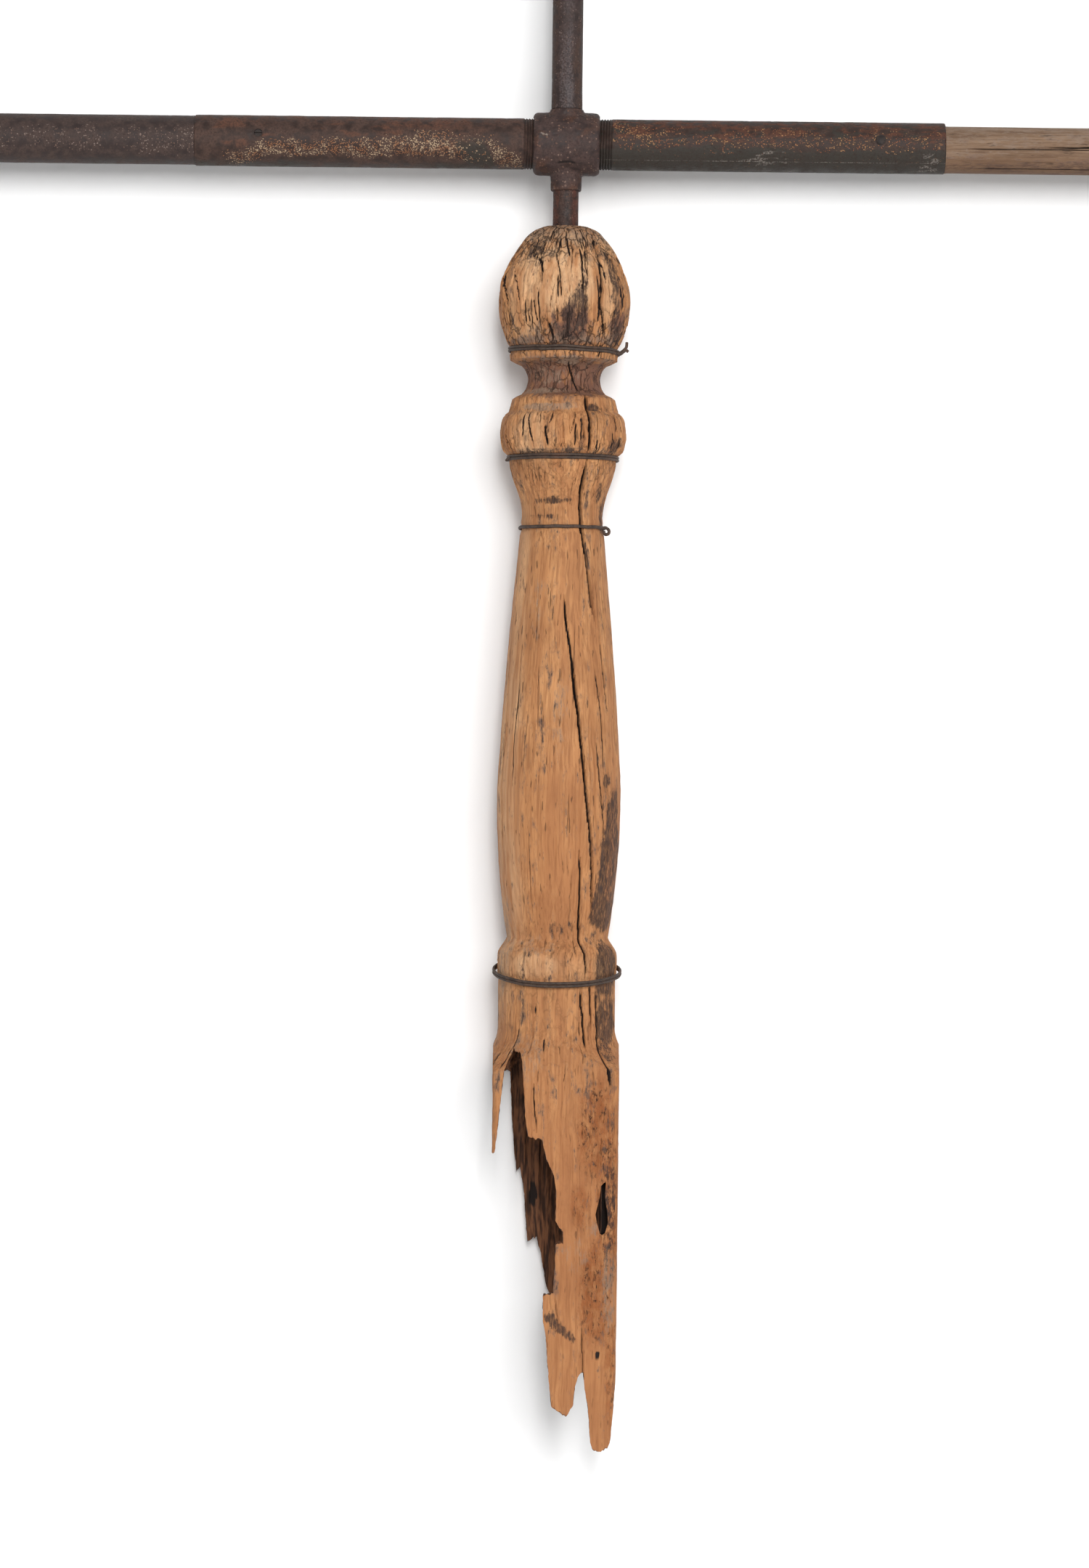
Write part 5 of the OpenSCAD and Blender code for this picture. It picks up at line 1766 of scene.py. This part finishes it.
@dataclass
class Studio:
    """A white wall behind the post, a pale floor, soft light and the camera."""

    wall_y: float = 0.0536
    floor_z: float = -0.125
    distance: float = 4.3
    lens: float = 119.5
    roll: float = 0.67
    look_x: float = -0.012
    look_z: float = 0.5445

    def plane(self, name: str, corners: Sequence[tuple[float, float, float]]) -> bpy.types.Object:
        """A flat sheet that is part of the stage."""
        mesh = bpy.data.meshes.new(name)
        mesh.from_pydata([list(corner) for corner in corners], [], [(0, 1, 2, 3)])
        sheet = bpy.data.objects.new(name, mesh)
        bpy.context.scene.collection.objects.link(sheet)
        return sheet

    def build_backdrop(self) -> None:
        """The wall, which is seen from the front only, and the floor."""
        wide, top, y, low = 3.0, 3.2, self.wall_y, self.floor_z
        wall = self.plane("studio_wall", [(-wide, y, low), (wide, y, low), (wide, y, top), (-wide, y, top)])
        material, graph, shader = new_material("studio_white")
        shader.inputs["Base Color"].default_value = (0.87, 0.87, 0.87, 1)
        shader.inputs["Roughness"].default_value = 1.0
        shader.inputs["Specular IOR Level"].default_value = 0.0
        behind = graph.add("ShaderNodeNewGeometry").outputs["Backfacing"]
        clear = graph.add("ShaderNodeBsdfTransparent").outputs[0]
        shown = graph.add("ShaderNodeMixShader", {0: behind, 1: shader.outputs[0], 2: clear})
        sink = next(node for node in material.node_tree.nodes if node.bl_idname == "ShaderNodeOutputMaterial")
        graph.feed(sink.inputs["Surface"], shown.outputs[0])
        wall.data.materials.append(material)
        corners = [(-wide, -wide, low), (wide, -wide, low), (wide, wide, low), (-wide, wide, low)]
        floor = self.plane("studio_floor", corners)
        ground, _, shader = new_material("studio_floor")
        shader.inputs["Base Color"].default_value = (0.8, 0.8, 0.8, 1)
        shader.inputs["Roughness"].default_value = 0.9
        floor.data.materials.append(ground)

    def light(self, name: str, place: tuple[float, float, float], size: tuple[float, float],
              power: float) -> None:
        """A soft oblong light that looks at the middle of the object.

        Args:
            name: The light's name.
            place: Where it stands.
            size: Its width and its height.
            power: Its power in watts.
        """
        lamp = bpy.data.lights.new(name, "AREA")
        lamp.shape, lamp.energy = "RECTANGLE", power
        lamp.size, lamp.size_y = size
        holder = bpy.data.objects.new(name, lamp)
        holder.location = place
        holder.visible_camera = False
        aim = Vector((0, 0, 0.75)) - Vector(place)
        holder.rotation_euler = aim.to_track_quat("-Z", "Y").to_euler()
        bpy.context.scene.collection.objects.link(holder)

    def build(self) -> None:
        """The whole studio."""
        self.build_backdrop()
        self.light("key_light", (0.35, -6.2, 2.5), (1.0, 3.2), 212.0)
        self.light("side_light", (2.2, -5.9, 2.5), (3.0, 3.2), 244.0)
        self.light("fill_light", (-2.2, -3.6, 0.9), (2.2, 2.2), 20.0)
        self.light("back_light", (0.9, 2.8, 1.8), (1.8, 1.8), 60.0)
        world = bpy.data.worlds.new("studio_world")
        world.use_nodes = True
        sky = Graph(world.node_tree)
        backdrop = world.node_tree.nodes["Background"]
        seen = sky.add("ShaderNodeLightPath").outputs["Is Camera Ray"]
        sky.feed(backdrop.inputs["Strength"], sky.rise(seen, 0.0, 1.0, 0.85))
        backdrop.inputs["Strength"].links[0].from_node.inputs["To Min"].default_value = 0.18
        backdrop.inputs["Color"].default_value = (1, 1, 1, 1)
        scene = bpy.context.scene
        scene.world = world
        scene.view_settings.view_transform = "Standard"
        scene.view_settings.look = "None"
        camera = bpy.data.cameras.new("camera")
        camera.lens, camera.sensor_width, camera.clip_end = self.lens, 36.0, 50.0
        holder = bpy.data.objects.new("camera", camera)
        angle = math.radians(self.roll)
        cosine, sine = math.cos(angle), math.sin(angle)
        turn = Matrix(((cosine, -sine, 0), (0, 0, -1), (sine, cosine, 0)))
        holder.matrix_world = Matrix.Translation((self.look_x, -self.distance, self.look_z)) @ turn.to_4x4()
        scene.collection.objects.link(holder)
        scene.camera = holder


# ---------------------------------------------------------------- the finishes and the whole object

POST_WOOD = WoodFinish(
    "weathered_post_wood", light=paint(216, 158, 106), middle=paint(188, 130, 84), deep=paint(136, 88, 56),
    grey=paint(154, 130, 110), stain=paint(57, 44, 40), blush=paint(106, 74, 64), inside=paint(58, 36, 25),
    inside_light=paint(128, 84, 56), check=paint(32, 20, 15), torn=paint(158, 92, 50),
    cream=paint(242, 200, 156), tan=paint(164, 102, 60))
BAR_WOOD = WoodFinish(
    "weathered_bar_wood", light=paint(150, 122, 98), middle=paint(128, 102, 81), deep=paint(92, 70, 56),
    grey=paint(146, 126, 110), stain=paint(92, 70, 58), blush=paint(110, 80, 70), inside=paint(80, 60, 45),
    inside_light=paint(110, 85, 66), check=paint(40, 30, 24), torn=paint(130, 95, 66),
    cream=paint(170, 146, 122), tan=paint(110, 80, 58),
    turn=(0.0, math.radians(90), 0.0), width=1.15)
ARM_IRON = dict(deep=iron(62, 47, 42), green=iron(66, 63, 57), pale=iron(150, 140, 132))
LEFT_IRON = IronFinish(
    "left_pipe_rust", base=iron(98, 75, 66), warm=iron(118, 79, 62), fleck=iron(226, 196, 160),
    rust_fleck=iron(176, 118, 80), fleck_scale=860.0, **ARM_IRON)
RIGHT_IRON = IronFinish(
    "right_pipe_rust", base=iron(86, 68, 60), warm=iron(112, 70, 53), fleck=iron(206, 156, 108),
    rust_fleck=iron(158, 96, 62), fleck_scale=820.0, **ARM_IRON)
EXTENSION_IRON = IronFinish(
    "extension_rust", base=iron(92, 75, 69), deep=iron(64, 52, 50), warm=iron(104, 78, 68),
    green=iron(68, 62, 58), pale=iron(114, 98, 90), fleck=iron(164, 144, 134), rust_fleck=iron(130, 102, 88),
    fleck_scale=820.0)
CROSS_IRON = IronFinish(
    "cross_rust", base=iron(94, 74, 69), deep=iron(62, 49, 47), warm=iron(104, 72, 58),
    green=iron(66, 62, 60), pale=iron(180, 164, 150), fleck=iron(144, 118, 106), rust_fleck=iron(122, 88, 72),
    fleck_scale=520.0)
MAST_IRON = IronFinish(
    "mast_rust", base=iron(88, 72, 68), deep=iron(62, 51, 49), warm=iron(92, 70, 60), green=iron(82, 73, 74),
    pale=iron(108, 96, 95), fleck=iron(140, 120, 114), rust_fleck=iron(110, 84, 72), fleck_scale=820.0)
SPINDLE_IRON = IronFinish(
    "spindle_rust", base=iron(88, 64, 56), deep=iron(58, 44, 40), warm=iron(112, 70, 58),
    green=iron(58, 50, 48), pale=iron(88, 70, 64), fleck=iron(140, 110, 96), rust_fleck=iron(116, 78, 62),
    fleck_scale=820.0)
WIRE_IRON = IronFinish(
    "wire_rust", base=iron(104, 87, 77), deep=iron(70, 58, 52), warm=iron(118, 88, 72),
    green=iron(86, 78, 72), pale=iron(128, 114, 104), fleck=iron(140, 120, 104), rust_fleck=iron(122, 94, 76),
    size=2.2, bump=0.35)
FASTENER_STEEL = IronFinish(
    "fastener_rust", base=iron(74, 64, 60), deep=iron(44, 38, 37), warm=iron(84, 64, 54),
    green=iron(62, 60, 60), pale=iron(118, 108, 100), fleck=iron(130, 112, 98), rust_fleck=iron(104, 80, 66),
    size=1.8, bump=0.4)
WASHER_STEEL = IronFinish(
    "washer_steel", base=iron(150, 146, 140), deep=iron(104, 96, 90), warm=iron(130, 104, 86),
    green=iron(110, 106, 100), pale=iron(180, 176, 170), fleck=iron(190, 184, 176),
    rust_fleck=iron(130, 96, 74), metallic=0.8, roughness=0.4, bump=0.2)


def build_wires() -> list[tuple[BindingWire, str]]:
    """The four binding wires and the CAD nodes that they stand for."""
    neck = BindingWire(
        "neck_wire", ring_r=45.2, height=901.8, wire_r=1.15, waver=0.7, seed=91,
        lean=-0.9, tail_r=1.25,
        tails=(((43.0, -13.5, 899.4), (46.4, -12.6, 900.4), (49.2, -11.8, 902.6), (51.2, -11.5, 905.0),
                (51.7, -11.4, 909.3)),
               ((44.0, -12.4, 898.2), (47.0, -13.2, 899.6), (49.6, -12.6, 901.8), (51.2, -12.0, 902.6),
                (52.9, -11.6, 901.2))))
    bulb = BindingWire(
        "bulb_wire", ring_r=45.4, height=813.2, wire_r=1.15, waver=0.5, seed=93,
        tails=(((-43.0, -16.5, 812.6), (-45.0, -15.0, 812.0), (-46.2, -14.2, 811.0), (-46.6, -14.0, 809.8)),))
    waist = BindingWire(
        "waist_wire", ring_r=34.9, height=756.0, wire_r=1.4, strands=1, waver=0.8, seed=95, tail_r=1.3,
        tails=(((33.4, -10.5, 756.0), (36.2, -9.4, 756.2), (38.6, -9.2, 754.2), (38.4, -9.6, 751.6),
                (36.2, -10.4, 750.6), (34.6, -11.2, 752.0), (34.4, -11.6, 753.6)),))
    base = BindingWire("base_wire", ring_r=52.3, height=390.0, wire_r=1.15, sag=9.5, waver=0.6, seed=97)
    return [(neck, "wire_neck"), (bulb, "wire_bulb"), (waist, "wire_waist"), (base, "wire_ring")]


def main() -> None:
    """Builds every piece in order, then the studio."""
    logging.basicConfig(level=logging.INFO, format="%(message)s")
    Studio().build()
    post = PostTimber().build()
    dress(post, POST_WOOD.build())
    settle(post, "post", "weathered_wood", "post")
    wire_material = WIRE_IRON.build()
    for wire, node in build_wires():
        piece = wire.build()
        dress(piece, wire_material)
        settle(piece, "post", "binding_wire", node)
    spindle = UprightPipe("spindle_iron_pipe", ((10.6, 855.0), (10.6, 1081.0)), 7.9, 101, wear=0.12).build()
    dress(spindle, SPINDLE_IRON.build())
    settle(spindle, "post", "spindle_iron", "spindle_pipe")
    cross = CrossCasting().build()
    dress(cross, CROSS_IRON.build())
    settle(cross, "head", "cross_iron", "cross_fitting")
    mast_outline = ((12.4, 1084.1), (12.4, 1101.7), (12.9, 1102.0), (12.7, 1118.0), (12.7, 1312.6),
                    (12.2, 1313.0))
    mast = UprightPipe("mast_iron_pipe", mast_outline, 9.2, 103).build()
    dress(mast, MAST_IRON.build())
    settle(mast, "head", "mast_iron", "mast_pipe")
    for pipe, finish, node in ((ArmPipe(Side.LEFT, 306.8, 3), LEFT_IRON, "arm_pipe_left"),
                               (ArmPipe(Side.RIGHT, 312.4, 4), RIGHT_IRON, "arm_pipe_right")):
        piece = pipe.build()
        dress(piece, finish.build())
        settle(piece, "head", "arm_iron", node)
    extension = Extension().build()
    dress(extension, EXTENSION_IRON.build())
    settle(extension, "head", "extension_iron", "arm_extension_left")
    bar = WoodBar().build()
    dress(bar, BAR_WOOD.build())
    settle(bar, "head", "bar_wood", "arm_bar_right")
    fastener = FASTENER_STEEL.build()
    nail = BarNail().build()
    dress(nail, fastener)
    settle(nail, "head", "fastener_steel", "bar_nail")
    for node, material in (("joint_screw", fastener), ("thrust_washer", WASHER_STEEL.build())):
        dress(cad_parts[node], material)
        log.info("%s: CAD shape kept", node)


if __name__ == "__main__":
    main()
